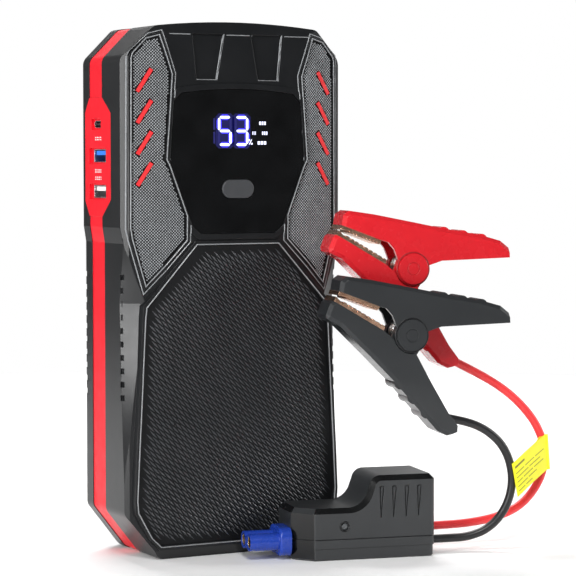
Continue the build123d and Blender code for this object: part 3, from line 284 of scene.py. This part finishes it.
CELL = surface("cell_mat", (0.60, 0.61, 0.63), 0.35, metal=0.9, grain=0.5, mottle=0.1)
TRAY = surface("tray_mat", (0.03, 0.03, 0.032), 0.55, grain=0.4)
FOAM = surface("foam_mat", (0.10, 0.10, 0.105), 0.9, grain=1.0, grain_mm=0.6)
TONGUE_BLUE = surface("tongue_blue_mat", (0.02, 0.19, 0.80), 0.4, grain=0.2)
TONGUE_WHITE = surface("tongue_white_mat", (0.85, 0.83, 0.80), 0.4, grain=0.2)
SOCKET_BLUE = surface("socket_blue_mat", (0.012, 0.05, 0.40), 0.4, grain=0.3)
CAP_RUBBER = surface("cap_rubber_mat", (0.018, 0.018, 0.019), 0.6, grain=0.6)
MODULE = surface("module_mat", (0.026, 0.028, 0.030), 0.31, grain=0.10, specular=0.55, mottle=0.05,
                 rough_spread=0.02)
PLUG = surface("plug_blue_mat", (0.011, 0.045, 0.34), 0.26, grain=0.35, mottle=0.08)
CLEAR = surface("status_lens_mat", (0.085, 0.09, 0.095), 0.2, grain=0.1)
BACK_LINE = surface("back_line_mat", (0.022, 0.024, 0.027), 0.3, grain=0.2)
# The bevels are the module's own plastic; their near-black colour is painted shade for the dark they reflect.
BEVEL_SHADE = surface("module_bevel_painted_shade_mat", (0.0025, 0.0028, 0.0032), 0.20, grain=0.05, bevel_mm=0.0, mottle=0.05)
RING = surface("status_ring_mat", (0.003, 0.003, 0.004), 0.3, grain=0.1)
TORCH = surface("torch_lens_mat", (0.70, 0.72, 0.74), 0.12, grain=0.1, coat=0.5)
LED = surface("torch_led_mat", (0.85, 0.80, 0.45), 0.5, grain=0.3)
LEAD_RED = surface("lead_red_mat", (0.84, 0.040, 0.045), 0.36, grain=0.4, grain_mm=0.35, bevel_mm=0.0)
LEAD_BLACK = surface("lead_black_mat", (0.012, 0.012, 0.013), 0.36, grain=0.4, grain_mm=0.35, bevel_mm=0.0)
CLAMP_RED = surface("clamp_red_mat", (0.64, 0.009, 0.017), 0.27, grain=0.15, coat=0.35, mottle=0.03,
                    rough_spread=0.02)
CLAMP_BLACK = surface("clamp_black_mat", (0.019, 0.021, 0.023), 0.30, grain=0.12, coat=0.25, mottle=0.04,
                      rough_spread=0.02)
# The hub rings are the shell's plastic; their darker colour is painted shade of the groove round the hub.
GROOVE_SHADE_RED = surface("hub_red_painted_shade_mat", (0.30, 0.004, 0.008), 0.4, grain=0.2)
GROOVE_SHADE_BLACK = surface("hub_black_painted_shade_mat", (0.004, 0.004, 0.005), 0.4, grain=0.2)
TAG = surface("tag_mat", (0.95, 0.90, 0.01), 0.45, grain=0.3, mottle=0.04, bevel_mm=0.0)
INK = surface("tag_ink_mat", (0.22, 0.20, 0.03), 0.6, grain=0.2, bevel_mm=0.0)
MARK = surface("mark_mat", (0.95, 0.55, 0.56), 0.6, grain=0.2, bevel_mm=0.0)
LIT = glowing("digit_lit_mat", (0.66, 0.70, 1.0), 2.6)
HALO = glowing("digit_halo_mat", (0.05, 0.04, 0.98), 2.0)
BLOOM = glowing("digit_bloom_mat", (0.004, 0.004, 0.085), 0.8)
UNLIT = glowing("digit_unlit_mat", (0.02, 0.02, 0.20), 0.5)
ICON = glowing("icon_mat", (0.75, 0.77, 1.0), 1.6)

FINISH = {
    CASE: ["front_cover", "rear_cover"],
    STEEL: ["case_screws", "cap_hinge", "red_spring", "black_spring"],
    BAND: ["side_band"], BARS: ["accent_bars"],
    WING_BLACK_AND_SHADE: ["left_wing", "right_wing"], PANEL_MAT: ["lower_panel"],
    TORCH: ["torch_lens"], LED: ["torch_led"], LENS: ["display_lens"], BUTTON: ["power_button"],
    PART: ["button_switch", "board_components", "relay", "input_tongue", "lead_grommets", "display_module"],
    BOARD: ["display_board", "main_board", "module_board"],
    CELL: ["battery_cells"], TRAY: ["cell_tray"], FOAM: ["foam_pads"],
    COPPER: ["copper_straps", "red_upper_jaw", "red_lower_jaw", "black_upper_jaw", "black_lower_jaw",
             "red_conductor", "black_conductor"],
    SHELL_STEEL: ["usb_shells", "input_port"],
    TONGUE_BLUE: ["usb_blue_tongue"], TONGUE_WHITE: ["usb_white_tongue"],
    SOCKET_BLUE: ["jump_socket"], BRASS: ["socket_contacts", "plug_contacts"], CAP_RUBBER: ["socket_cap"],
    MODULE: ["module_base", "module_cover"], PLUG: ["plug_body"], CLEAR: ["status_led"],
    LEAD_RED: ["red_lead"], LEAD_BLACK: ["black_lead"], TAG: ["warning_tag"],
    CLAMP_RED: ["red_upper_shell", "red_lower_shell", "red_pivot"],
    CLAMP_BLACK: ["black_upper_shell", "black_lower_shell", "black_pivot"],
}
for finish, names in FINISH.items():
    for name in names:
        data = NODES[name].data
        data.materials.clear()
        data.materials.append(finish)


# ---------------- mesh helpers ----------------
def piece(name, verts_mm, faces, material, body, smooth=False):
    """A new mesh piece riding on a CAD body; its points are given in mm."""
    mesh = bpy.data.meshes.new(name)
    mesh.from_pydata([(x * MM, y * MM, z * MM) for x, y, z in verts_mm], [], faces)
    mesh.validate()
    mesh.materials.append(material)
    made = bpy.data.objects.new(name, mesh)
    bpy.context.scene.collection.objects.link(made)
    for polygon in mesh.polygons:
        polygon.use_smooth = smooth
    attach(made, body)
    return made


class Skin:
    """Looks up the surface of some CAD nodes along one direction."""

    def __init__(self, names, direction, start):
        verts, polygons = [], []
        for node_name in names:
            data = NODES[node_name].data
            base = len(verts)
            verts += [v.co.copy() for v in data.vertices]
            polygons += [[base + i for i in p.vertices] for p in data.polygons]
        self.tree = BVHTree.FromPolygons(verts, polygons)
        self.direction = Vector(direction)
        self.start = start

    def depth(self, across, up):
        """The surface's coordinate along the direction at a place, mm; None off the surface."""
        if self.direction.x:
            origin = Vector((self.start * MM, across * MM, up * MM))
        else:
            origin = Vector((across * MM, self.start * MM, up * MM))
        hit = self.tree.ray_cast(origin, self.direction)[0]
        if hit is None:
            return None
        return (hit.x if self.direction.x else hit.y) / MM


def inside(point, outline):
    """Whether a flat point lies inside a closed outline."""
    x, z = point
    found = False
    for (x0, z0), (x1, z1) in zip(outline, outline[1:] + outline[:1]):
        if (z0 > z) != (z1 > z) and x < (x1 - x0) * (z - z0) / (z1 - z0) + x0:
            found = not found
    return found


def grow(outline, amount):
    """A closed outline moved outwards by amount (counter to its winding)."""
    area = sum(x0 * z1 - x1 * z0 for (x0, z0), (x1, z1) in zip(outline, outline[1:] + outline[:1]))
    way = 1 if area > 0 else -1
    ring = []
    for before, here, after in zip(outline[-1:] + outline[:-1], outline, outline[1:] + outline[:1]):
        first = Vector((here[0] - before[0], here[1] - before[1])).normalized()
        second = Vector((after[0] - here[0], after[1] - here[1])).normalized()
        normal = Vector((first.y, -first.x)) + Vector((second.y, -second.x))
        normal.normalize()
        scale = amount * way / max(0.35, normal.dot(Vector((first.y, -first.x))))
        ring.append((here[0] + normal.x * scale, here[1] + normal.y * scale))
    return ring


def resample(points, step, closed):
    """The same polyline with points no further than step apart, its corners kept."""
    ring = list(points) + ([points[0]] if closed else [])
    made = []
    for (x0, z0), (x1, z1) in zip(ring, ring[1:]):
        count = max(1, int(math.hypot(x1 - x0, z1 - z0) / step))
        made += [(x0 + (x1 - x0) * i / count, z0 + (z1 - z0) * i / count) for i in range(count)]
    if not closed:
        made.append(ring[-1])
    return made


def ribs(name, lines, width, height, skin, material):
    """Raised lines on the case: rounded in section, following the surface below them."""
    verts, faces = [], []
    sign = 1 if sum(skin.direction) > 0 else -1
    for points, closed in lines:
        path = [p for p in resample(points, LINE_STEP, closed) if skin.depth(*p) is not None]
        count = len(path)
        base = len(verts)
        last = skin.depth(*path[0])
        for index, here in enumerate(path):
            before = path[index - 1] if index or closed else here
            after = path[(index + 1) % count] if index < count - 1 or closed else here
            ahead = Vector((after[0] - here[0], after[1] - here[1]))
            behind = Vector((here[0] - before[0], here[1] - before[1]))
            ahead = ahead.normalized() if ahead.length > 1e-6 else behind.normalized()
            behind = behind.normalized() if behind.length > 1e-6 else ahead
            side = Vector((-(ahead.y + behind.y), ahead.x + behind.x)).normalized()
            scale = width / max(0.5, side.dot(Vector((-ahead.y, ahead.x))))
            for offset, rise in LINE_SECTION:
                across, up = here[0] + side.x * offset * scale, here[1] + side.y * offset * scale
                depth = skin.depth(across, up)
                if depth is None:
                    depth = last
                last = depth
                verts.append((across, depth + sign * (LINE_SINK - (LINE_SINK + height) * rise), up))
        size = len(LINE_SECTION)
        for index in range(count if closed else count - 1):
            here, there = base + index * size, base + ((index + 1) % count) * size
            for k in range(size - 1):
                faces.append((here + k, here + k + 1, there + k + 1, there + k))
        if not closed:
            faces.append(tuple(base + k for k in range(size)))
            faces.append(tuple(base + (count - 1) * size + k for k in reversed(range(size))))
    piece(name, verts, faces, material, "pack")


FRONT = Skin(["front_cover"], (0, 1, 0), FAR_FRONT)
BACK = Skin(["rear_cover"], (0, -1, 0), FAR_BACK)


# ---------------- camera, light, floor ----------------
def add_camera():
    """A long lens from the front left, a little above the object."""
    data = bpy.data.cameras.new("photo_camera")
    data.sensor_width = 36.0
    data.lens = 143.75
    data.shift_y = -5.0 / 576.0
    data.clip_end = 20.0
    camera = bpy.data.objects.new("photo_camera", data)
    camera.location = (-0.4561, -0.9364, 0.1763)
    camera.rotation_euler = (math.radians(90.0 - 3.11), 0.0, math.radians(-27.90))
    bpy.context.scene.collection.objects.link(camera)
    bpy.context.scene.camera = camera


def add_light(name, place, size, power):
    """A soft rectangular light that faces the object."""
    data = bpy.data.lights.new(name, "AREA")
    data.shape = "RECTANGLE"
    data.size, data.size_y = size
    data.energy = power
    light = bpy.data.objects.new(name, data)
    light.location = place
    light.rotation_euler = (Vector(TARGET) - Vector(place)).to_track_quat("-Z", "Y").to_euler()
    bpy.context.scene.collection.objects.link(light)


def add_world():
    """A faint white light from all round, and plain white where the camera sees past the floor."""
    world = bpy.data.worlds.new("studio")
    bpy.context.scene.world = world
    world.use_nodes = True
    nodes, links = world.node_tree.nodes, world.node_tree.links
    ambient = nodes["Background"]
    backdrop = nodes.new("ShaderNodeBackground")
    for shader, strength in ((ambient, AMBIENT), (backdrop, 1.0)):
        shader.inputs["Color"].default_value = (1.0, 1.0, 1.0, 1.0)
        shader.inputs["Strength"].default_value = strength
    path = nodes.new("ShaderNodeLightPath")
    chooser = nodes.new("ShaderNodeMixShader")
    links.new(path.outputs["Is Camera Ray"], chooser.inputs["Fac"])
    links.new(ambient.outputs["Background"], chooser.inputs[1])
    links.new(backdrop.outputs["Background"], chooser.inputs[2])
    links.new(chooser.outputs["Shader"], nodes["World Output"].inputs["Surface"])


def add_floor():
    """A round pale floor."""
    turns = [math.tau * k / FLOOR_SIDES for k in range(FLOOR_SIDES)]
    mesh = bpy.data.meshes.new("floor")
    mesh.from_pydata([(FLOOR_R * math.cos(turn), FLOOR_R * math.sin(turn), 0) for turn in turns], [],
                     [tuple(range(FLOOR_SIDES))])
    mesh.materials.append(surface("floor_mat", (0.93, 0.93, 0.93), 0.8, grain=0.1, mottle=0.01, bevel_mm=0.0))
    floor = bpy.data.objects.new("floor", mesh)
    bpy.context.scene.collection.objects.link(floor)


add_camera()
add_light("key_left", (-1.15, -0.62, 0.32), (0.25, 0.8), 13.0)
add_light("upper_front", (-0.42, -1.00, 1.05), (0.45, 0.35), 11.0)
add_light("top_back", (0.15, 0.75, 1.05), (0.8, 0.4), 13.0)
add_light("right", (1.15, -0.35, 0.45), (0.25, 0.7), 5.0)
add_light("back_left", (-0.9, 0.7, 0.6), (0.5, 0.9), 4.0)
add_light("back_right", (0.9, 0.8, 0.6), (0.5, 0.9), 4.0)
add_world()
add_floor()
bpy.context.scene.view_settings.view_transform = "Standard"


# ---------------- leads ----------------
def tag_spot(u, v, out=0.0):
    """A place on the tag's front face: u from free end to lead, v from top to bottom, out forwards."""
    bulge = TAG_BULGE * math.sin(math.pi * u)
    free = [TAG_FREE[k] + TAG_FREE_DROP[k] * v for k in (0, 1)]
    held = [TAG_HELD[k] + TAG_HELD_DROP[k] * v for k in (0, 1)]
    along, up = [(1 - u) * free[k] + u * held[k] for k in (0, 1)]
    deep = TAG_FREE_DEEP + TAG_DEEP_RUN * u ** TAG_CURL + bulge
    return lead(along - (TAG_LEAD_DEEP - deep) * TAG_SLANT, deep - out, up + bulge)


def add_tag():
    """A yellow tag folded round the red lead, its two leaves stuck together and curled forwards."""
    verts, faces = [], []
    steps, rows = 22, 10
    for row in range(rows + 1):
        v = row / rows
        front = [tag_spot(k / steps, v) for k in range(steps + 1)]
        parting = [max(0.0, k / steps - TAG_LOOP_START) / (1 - TAG_LOOP_START) for k in range(steps + 1)]
        gaps = [TAG_GAP + TAG_LOOP * share for share in parting]
        back = [tag_spot(k / steps, v, -gap) for k, gap in enumerate(gaps)]
        middle = [(a + b) / 2 for a, b in zip(front[-1], back[-1])]
        reach = math.dist(front[-1], back[-1]) / 2
        arc = [lead_offset(middle, reach, math.radians(-90 + 180 * k / 8)) for k in range(1, 8)]
        verts += front + arc + list(reversed(back))
    size = len(verts) // (rows + 1)
    for row in range(rows):
        here, there = row * size, (row + 1) * size
        faces += [(here + k, here + (k + 1) % size, there + (k + 1) % size, there + k) for k in range(size)]
    faces.append(tuple(reversed(range(size))))
    faces.append(tuple(rows * size + k for k in range(size)))
    tag = piece("folded_tag", verts, faces, TAG, "lead_set")
    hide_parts("warning_tag")
    return tag


def add_tag_print():
    """Plain bars in lines on the tag's front face."""
    verts, faces = [], []
    count = 6
    for v, thick, runs in TAG_LINES:
        for start, end in runs:
            base = len(verts)
            for k in range(count + 1):
                u = start + (end - start) * k / count
                verts += [tag_spot(u, v, 0.05), tag_spot(u, v + thick, 0.05)]
            corners = [base + 2 * k for k in range(count)]
            faces += [(k, k + 1, k + 3, k + 2) for k in corners]
    return piece("tag_print", verts, faces, INK, "lead_set")


def add_lead(name, route, node, material, pieces=()):
    """One flexible lead from the module to its clamp's handle."""
    curve = bpy.data.curves.new(name, "CURVE")
    curve.dimensions = "3D"
    spline = curve.splines.new("NURBS")
    spline.points.add(len(route) - 1)
    for point, place in zip(spline.points, route):
        point.co = [c * MM for c in lead(*place)] + [1.0]
    spline.order_u = 3
    spline.use_endpoint_u = True
    spline.resolution_u = 12
    curve.bevel_depth = LEAD_D / 2 * MM
    curve.bevel_resolution = 8
    curve.materials.append(material)
    made = bpy.data.objects.new(name, curve)
    bpy.context.scene.collection.objects.link(made)
    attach(made, "lead_set")
    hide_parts(node)


add_lead("red_cable", RED_ROUTE, "red_lead", LEAD_RED, [add_tag(), add_tag_print()])
add_lead("black_cable", BLACK_ROUTE, "black_lead", LEAD_BLACK)


# ---------------- knurled wings: points coloured light as painted highlight, the base below them darkened as painted shade ---
def bar_outline(side, row, margin):
    """Four corners of one slanted bar with a margin round it."""
    length = math.hypot(*BAR_RUN)
    ahead = (BAR_RUN[0] / length, BAR_RUN[1] / length)
    wide = BAR_HALF + margin
    x0, z0 = BAR_TOP[0] - ahead[0] * margin, BAR_TOP[1] - row * BAR_PITCH - ahead[1] * margin
    x1, z1 = x0 + ahead[0] * (length + 2 * margin), z0 + ahead[1] * (length + 2 * margin)
    ring = [(x0 + ahead[1] * wide, z0 - ahead[0] * wide), (x1 + ahead[1] * wide, z1 - ahead[0] * wide),
            (x1 - ahead[1] * wide, z1 + ahead[0] * wide), (x0 - ahead[1] * wide, z0 + ahead[0] * wide)]
    return [(side * x, z) for x, z in ring]


def add_points(name, outline, skip, depth_at, wide, tall, fill, high, turn, material):
    """Small four-sided points set close inside an outline, in staggered rows turned by an angle."""
    ux, uz = math.cos(turn), math.sin(turn)
    turned = [(x * ux + z * uz, z * ux - x * uz) for x, z in outline]
    low_u, high_u = min(u for u, v in turned), max(u for u, v in turned)
    low_v, high_v = min(v for u, v in turned), max(v for u, v in turned)
    half_w, half_t = wide / 2 * fill[0], tall / 2 * fill[1]
    verts, faces = [], []
    for row in range(int((high_v - low_v) / tall * 2) + 1):
        v = low_v + row * tall / 2
        for column in range(int((high_u - low_u) / wide) + 1):
            u = low_u + (column + 0.5 * (row % 2)) * wide
            spots = [(u - half_w, v), (u, v - half_t), (u + half_w, v), (u, v + half_t), (u, v)]
            flat = [(a * ux - b * uz, a * uz + b * ux) for a, b in spots]
            if not all(inside(c, outline) for c in flat[:4]) or any(inside(flat[4], bar) for bar in skip):
                continue
            depths = [depth_at(*c) for c in flat]
            if None in depths:
                continue
            base = len(verts)
            verts += [(c[0], d + 0.03, c[1]) for c, d in zip(flat[:4], depths)]
            verts.append((flat[4][0], depths[4] - high, flat[4][1]))
            faces += [(base + k, base + (k + 1) % 4, base + 4) for k in range(4)]
    piece(name, verts, faces, material, "pack")


def add_knurl(side, node):
    """The rubbery points covering one wing, kept clear of its red bars, coloured light grey as painted
    highlight.
    """
    skin = Skin([node], (0, 1, 0), FAR_FRONT)
    outline = grow([(side * x, z) for x, z in WING], -0.15)
    bars = [bar_outline(side, row, BAR_CLEARANCE) for row in range(BAR_ROWS)]
    add_points(node + "_knurl", outline, bars, skin.depth, KNURL_PITCH, KNURL_PITCH, (KNURL_FILL, KNURL_FILL),
               KNURL_HIGH, 0.0, KNURL_PAINTED_HIGHLIGHT)


add_knurl(1, "right_wing")
add_knurl(-1, "left_wing")


# ---------------- lower panel: faceted sheet with fine slanting ridges, the ridges lighter as painted highlight ---
def panel_depth(x, z):
    """Depth of the panel's faceted face, mm."""
    return PANEL_FACE_Y + max(0.0, abs(x) - FACET_X) * FACET_SLOPE + max(0.0, FOOT_Z - z) * FOOT_SLOPE


def clip(ring, axis, limit, keep):
    """A flat outline's part past a limit (keep 1) or before it (keep -1), in x (axis 0) or z (axis 1)."""
    clipped = []
    for here, there in zip(ring, ring[1:] + ring[:1]):
        a, b = keep * (here[axis] - limit), keep * (there[axis] - limit)
        if a >= 0:
            clipped.append(here)
        if (a > 0 > b) or (a < 0 < b):
            t = a / (a - b)
            clipped.append(tuple(here[k] + (there[k] - here[k]) * t for k in (0, 1)))
    return clipped


def add_panel():
    """Ridges over a base sheet, which is cut into facets where its face changes slope."""
    outline = both(PANEL)
    add_points("panel_weave", grow(outline, -1.1), [], panel_depth, RIDGE_LONG, RIDGE_PITCH,
               (1.0, RIDGE_FILL), RIDGE_HIGH, RIDGE_TURN, WEAVE_HIGHLIGHT)
    verts, faces = [], []
    levels_x = [-60.0, -FACET_X, FACET_X, 60.0]
    levels_z = [0.0, FOOT_Z, 150.0]
    for x0, x1 in zip(levels_x, levels_x[1:]):
        for z0, z1 in zip(levels_z, levels_z[1:]):
            ring = clip(clip(clip(clip(outline, 0, x0, 1), 0, x1, -1), 1, z0, 1), 1, z1, -1)
            if len(ring) > 2:
                base = len(verts)
                verts += [(x, panel_depth(x, z), z) for x, z in ring]
                faces.append(tuple(range(base, base + len(ring))))
    made = piece("panel_sheet", verts, faces, PANEL_MAT, "pack")
    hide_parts("lower_panel")


add_panel()


# ---------------- raised lines on the covers, the front ones coloured light grey as painted highlight ---
def wing_line(side, amount):
    """A closed line round one wing, moved outwards by amount."""
    return grow([(side * x, z) for x, z in WING], amount), True


def tab_line(side):
    """A line round one tab's two sides and foot, always drawn from the same side."""
    ring = [(side * x, z) for x, z in TAB]
    if side > 0:
        ring.reverse()
    return ring


def level_line(start, length, up):
    """An open level line from its left end."""
    return [(start, up), (start + length, up)], False


tab_lines = []
for side in (-1, 1):
    ring = tab_line(side)
    tab_lines.append(([ring[3], ring[2], ring[1]], False))
    tab_lines.append(level_line(ring[3][0] + 1.2, 13.2, TAB_LINE_Z))
tab_lines.append(level_line(-33.0, 10.0, TAB_LINE_Z))
back_lines = [(both(BACK_EDGE), True), (grow(both(BACK_EDGE), -1.6), True), (BACK_PLATE, True)]
for row in range(BACK_RIBS):
    back_lines.append(level_line(-BACK_RIB_X, 2 * BACK_RIB_X, BACK_RIB_Z + row * BACK_RIB_PITCH))

# The front lines are coloured light grey as painted highlight along their edges.
ribs("wing_lines", [wing_line(side, amount) for amount in (0.55, 2.3) for side in (1, -1)], 0.55, LINE_HIGH,
     FRONT, CASE_LINE_HIGHLIGHT)
ribs("panel_lines", [(grow(both(PANEL), 0.45), True)], 0.6, LINE_HIGH, FRONT, CASE_LINE_HIGHLIGHT)
ribs("tab_lines", tab_lines, 0.5, LINE_HIGH, FRONT, CASE_LINE_HIGHLIGHT)
ribs("back_lines", back_lines, 0.6, 0.22, BACK, BACK_LINE)


# ---------------- display ----------------
def slab(verts, faces, outline, proud):
    """Adds a flat plate that stands proud of the lens, its outline in x and z."""
    base, size = len(verts), len(outline)
    verts += [(x, LENS_Y + DISPLAY_SINK, z) for x, z in outline]
    verts += [(x, LENS_Y - proud, z) for x, z in outline]
    faces.append(tuple(base + size + k for k in range(size)))
    for k in range(size):
        after = (k + 1) % size
        faces.append((base + k, base + after, base + size + after, base + size + k))


def segment(x0, z0, x1, z1, half):
    """A six-cornered display segment from one end to the other."""
    length = math.hypot(x1 - x0, z1 - z0)
    ux, uz = (x1 - x0) / length, (z1 - z0) / length
    nx, nz = -uz * half, ux * half
    ax, az = ux * half, uz * half
    return [(x0, z0), (x0 + ax + nx, z0 + az + nz), (x1 - ax + nx, z1 - az + nz), (x1, z1),
            (x1 - ax - nx, z1 - az - nz), (x0 + ax - nx, z0 + az - nz)]


def digit_parts(left):
    """The seven segments of a digit whose left edge is at `left`."""
    right, middle, gap = left + DIGIT_W, (DIGIT_TOP + DIGIT_LOW) / 2, 0.25
    return {
        "a": (left + gap, DIGIT_TOP, right - gap, DIGIT_TOP),
        "b": (right, DIGIT_TOP - gap, right, middle + gap),
        "c": (right, middle - gap, right, DIGIT_LOW + gap),
        "d": (left + gap, DIGIT_LOW, right - gap, DIGIT_LOW),
        "e": (left, middle - gap, left, DIGIT_LOW + gap),
        "f": (left, DIGIT_TOP - gap, left, middle + gap),
        "g": (left + gap, middle, right - gap, middle),
    }


def bloom_outline(left):
    """The cut-cornered plate behind a digit."""
    x0, x1 = left - BLOOM_MARGIN, left + DIGIT_W + BLOOM_MARGIN
    z0, z1 = DIGIT_LOW - BLOOM_MARGIN, DIGIT_TOP + BLOOM_MARGIN
    return [(x0, z0 + BLOOM_CUT), (x0, z1 - BLOOM_CUT), (x0 + BLOOM_CUT, z1), (x1 - BLOOM_CUT, z1),
            (x1, z1 - BLOOM_CUT), (x1, z0 + BLOOM_CUT), (x1 - BLOOM_CUT, z0), (x0 + BLOOM_CUT, z0)]


def box_outline(x0, x1, z0, z1):
    """A rectangle in x and z."""
    return [(x0, z0), (x1, z0), (x1, z1), (x0, z1)]


def add_display():
    """Two lit digits with their glow, the unlit segments, and small generic indicators."""
    lit, halo, bloom, dark, icons = [([], []) for _ in range(5)]
    for digit, left in DIGITS:
        slab(*bloom, bloom_outline(left), 0.015)
        for name, line in digit_parts(left).items():
            if name in LIT_SEGMENTS[digit]:
                slab(*lit, segment(*line, LIT_HALF), 0.07)
                slab(*halo, segment(*line, HALO_HALF), 0.03)
            else:
                slab(*dark, segment(*line, DARK_HALF), 0.05)
    for name in "bc":
        slab(*dark, segment(*digit_parts(UNLIT_ONE)[name], DARK_ONE_HALF), 0.05)
    for x, z, wide in INDICATORS:
        for k in range(3):
            x0 = x + k * wide / 3
            slab(*icons, box_outline(x0, x0 + wide / 3 - 0.35, z - 0.75, z + 0.75), 0.06)
    slab(*icons, segment(5.6, 182.2, 6.9, 184.6, 0.2), 0.06)
    for x, z in ((5.6, 184.2), (6.9, 182.6)):
        slab(*icons, box_outline(x - 0.4, x + 0.4, z - 0.4, z + 0.4), 0.06)
    layers = [("digits_lit", lit, LIT), ("digits_glow", halo, HALO), ("digits_bloom", bloom, BLOOM),
              ("digits_unlit", dark, UNLIT), ("indicators", icons, ICON)]
    for name, (verts, faces), material in layers:
        piece(name, verts, faces, material, "pack")


add_display()


# ---------------- clamps: coil springs, and hub rings darkened as painted shade ---
def clamp_spot(pivot, along, deep, up):
    """A place given round a clamp's pivot, in the pack's frame, mm."""
    return lead(pivot[0] + along, pivot[1] + deep, pivot[2] + up)


def tube(verts, faces, path, radius, sides=8):
    """Adds a round bar along a path of points, closed at both ends."""
    base = len(verts)
    for index, here in enumerate(path):
        ahead = (Vector(path[min(index + 1, len(path) - 1)]) - Vector(path[max(index - 1, 0)])).normalized()
        first = ahead.orthogonal() if index == 0 else first - ahead * first.dot(ahead)
        first.normalize()
        second = ahead.cross(first)
        for k in range(sides):
            turn = math.tau * k / sides
            verts.append(tuple(Vector(here) + (first * math.cos(turn) + second * math.sin(turn)) * radius))
    for index in range(len(path) - 1):
        here, there = base + index * sides, base + (index + 1) * sides
        for k in range(sides):
            faces.append((here + k, here + (k + 1) % sides, there + (k + 1) % sides, there + k))
    faces.append(tuple(base + k for k in reversed(range(sides))))
    faces.append(tuple(base + (len(path) - 1) * sides + k for k in range(sides)))


def add_spring(name, pivot, node):
    """A coil round the pivot, with one straight leg that reaches towards the lower jaw."""
    path = [clamp_spot(pivot, along, -SPRING_HALF, up) for along, up in SPRING_LEG]
    for index in range(SPRING_STEPS + 1):
        share = index / SPRING_STEPS
        turn = SPRING_START + math.tau * SPRING_TURNS * share
        path.append(clamp_spot(pivot, SPRING_R * math.cos(turn), SPRING_HALF * (2 * share - 1),
                               SPRING_R * math.sin(turn)))
    verts, faces = [], []
    tube(verts, faces, path, WIRE_R)
    made = piece(name, verts, faces, STEEL, "lead_set", smooth=True)
    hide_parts(node)


def band(verts, faces, sides, section_at):
    """Adds a strip round an axis, with the four points of its section given for each angle."""
    base = len(verts)
    for k in range(sides):
        verts += section_at(math.tau * k / sides)
    for k in range(sides):
        here, there = base + k * 4, base + (k + 1) % sides * 4
        faces += [(here + m, here + m + 1, there + m + 1, there + m) for m in range(3)]


def add_hub_ring(colour, pivot, material):
    """A raised ring on both faces of a clamp, round its pivot, coloured darker than the shell as painted
    shade of the groove round the hub.
    """
    radius, wide, high = HUB_R - 0.35, 0.55, 0.22
    verts, faces = [], []
    for way in (-1, 1):
        band(verts, faces, 56, lambda turn: [
            clamp_spot(pivot, (radius + out * wide) * math.cos(turn), way * (CLAMP_HALF + high * rise),
                       (radius + out * wide) * math.sin(turn)) for out, rise in HUB_SECTION])
    piece(colour + "_hub_ring", verts, faces, material, colour + "_jaw_half", smooth=True)


for colour, pivot, groove_shade in (("red", RED_PIVOT, GROOVE_SHADE_RED), ("black", BLACK_PIVOT, GROOVE_SHADE_BLACK)):
    add_spring(colour + "_coil", pivot, colour + "_spring")
    add_hub_ring(colour, pivot, groove_shade)


# ---------------- module: ring round its status light, and painted shade on its bevels ---
def add_status_ring():
    """A raised ring round the status light."""
    x, y, z = STATUS_SPOT
    verts, faces = [], []
    band(verts, faces, 32, lambda turn: [
        lead(x + reach * math.cos(turn), y - rise, z + reach * math.sin(turn))
        for reach, rise in STATUS_SECTION])
    piece("status_ring", verts, faces, RING, "lead_set", smooth=True)


def add_module_bevel_shade():
    """The module's slanted edges and cut corner, glossier than its faces and coloured darker as painted
    shade.
    """
    run = Vector((math.cos(YAW), math.sin(YAW), 0.0))
    back = Vector((-math.sin(YAW), math.cos(YAW), 0.0))
    origin = Vector((LEAD_ORIGIN[0], LEAD_ORIGIN[1], 0.0))
    verts, faces = [], []
    for name in ("module_cover", "module_base"):
        data = NODES[name].data
        for polygon in data.polygons:
            normal, place = polygon.normal, polygon.center / MM - origin
            deep, along = normal.dot(back), normal.dot(run)
            outward = deep * place.dot(back) > 0 or along * place.dot(run) > 0
            slanted = 0.55 < abs(deep) < 0.85
            end_edge = 0.6 < normal.z < 0.8 and abs(along) > 0.6 and abs(place.dot(run)) > MODULE_END
            if outward and (slanted or end_edge) and normal.z > -0.2:
                base = len(verts)
                verts += [tuple(data.vertices[i].co / MM + normal * BEVEL_LIFT) for i in polygon.vertices]
                faces.append(tuple(range(base, len(verts))))
    piece("module_bevel_shade", verts, faces, BEVEL_SHADE, "lead_set")


add_status_ring()
add_module_bevel_shade()


# ---------------- pale marks beside the ports ----------------
def add_marks():
    """Rows of short dashes on the band's left side, standing for the small print there."""
    skin = Skin(["side_band"], (1, 0, 0), FAR_LEFT)
    verts, faces = [], []
    for z, widths in MARK_ROWS:
        y = PORT_Y - 4.2
        for wide in widths:
            for low, high in ((-0.75, -0.2), (0.2, 0.75)):
                spots = [(y, z + low), (y + wide, z + low), (y + wide, z + high), (y, z + high)]
                depths = [skin.depth(*spot) for spot in spots]
                if None in depths:
                    continue
                base = len(verts)
                verts += [(d - 0.06, c[0], c[1]) for c, d in zip(spots, depths)]
                verts += [(d + 0.05, c[0], c[1]) for c, d in zip(spots, depths)]
                faces.append((base, base + 3, base + 2, base + 1))
                for k in range(4):
                    after = (k + 1) % 4
                    faces.append((base + k, base + after, base + 4 + after, base + 4 + k))
            y += wide + 0.7
    piece("port_marks", verts, faces, MARK, "pack")


add_marks()
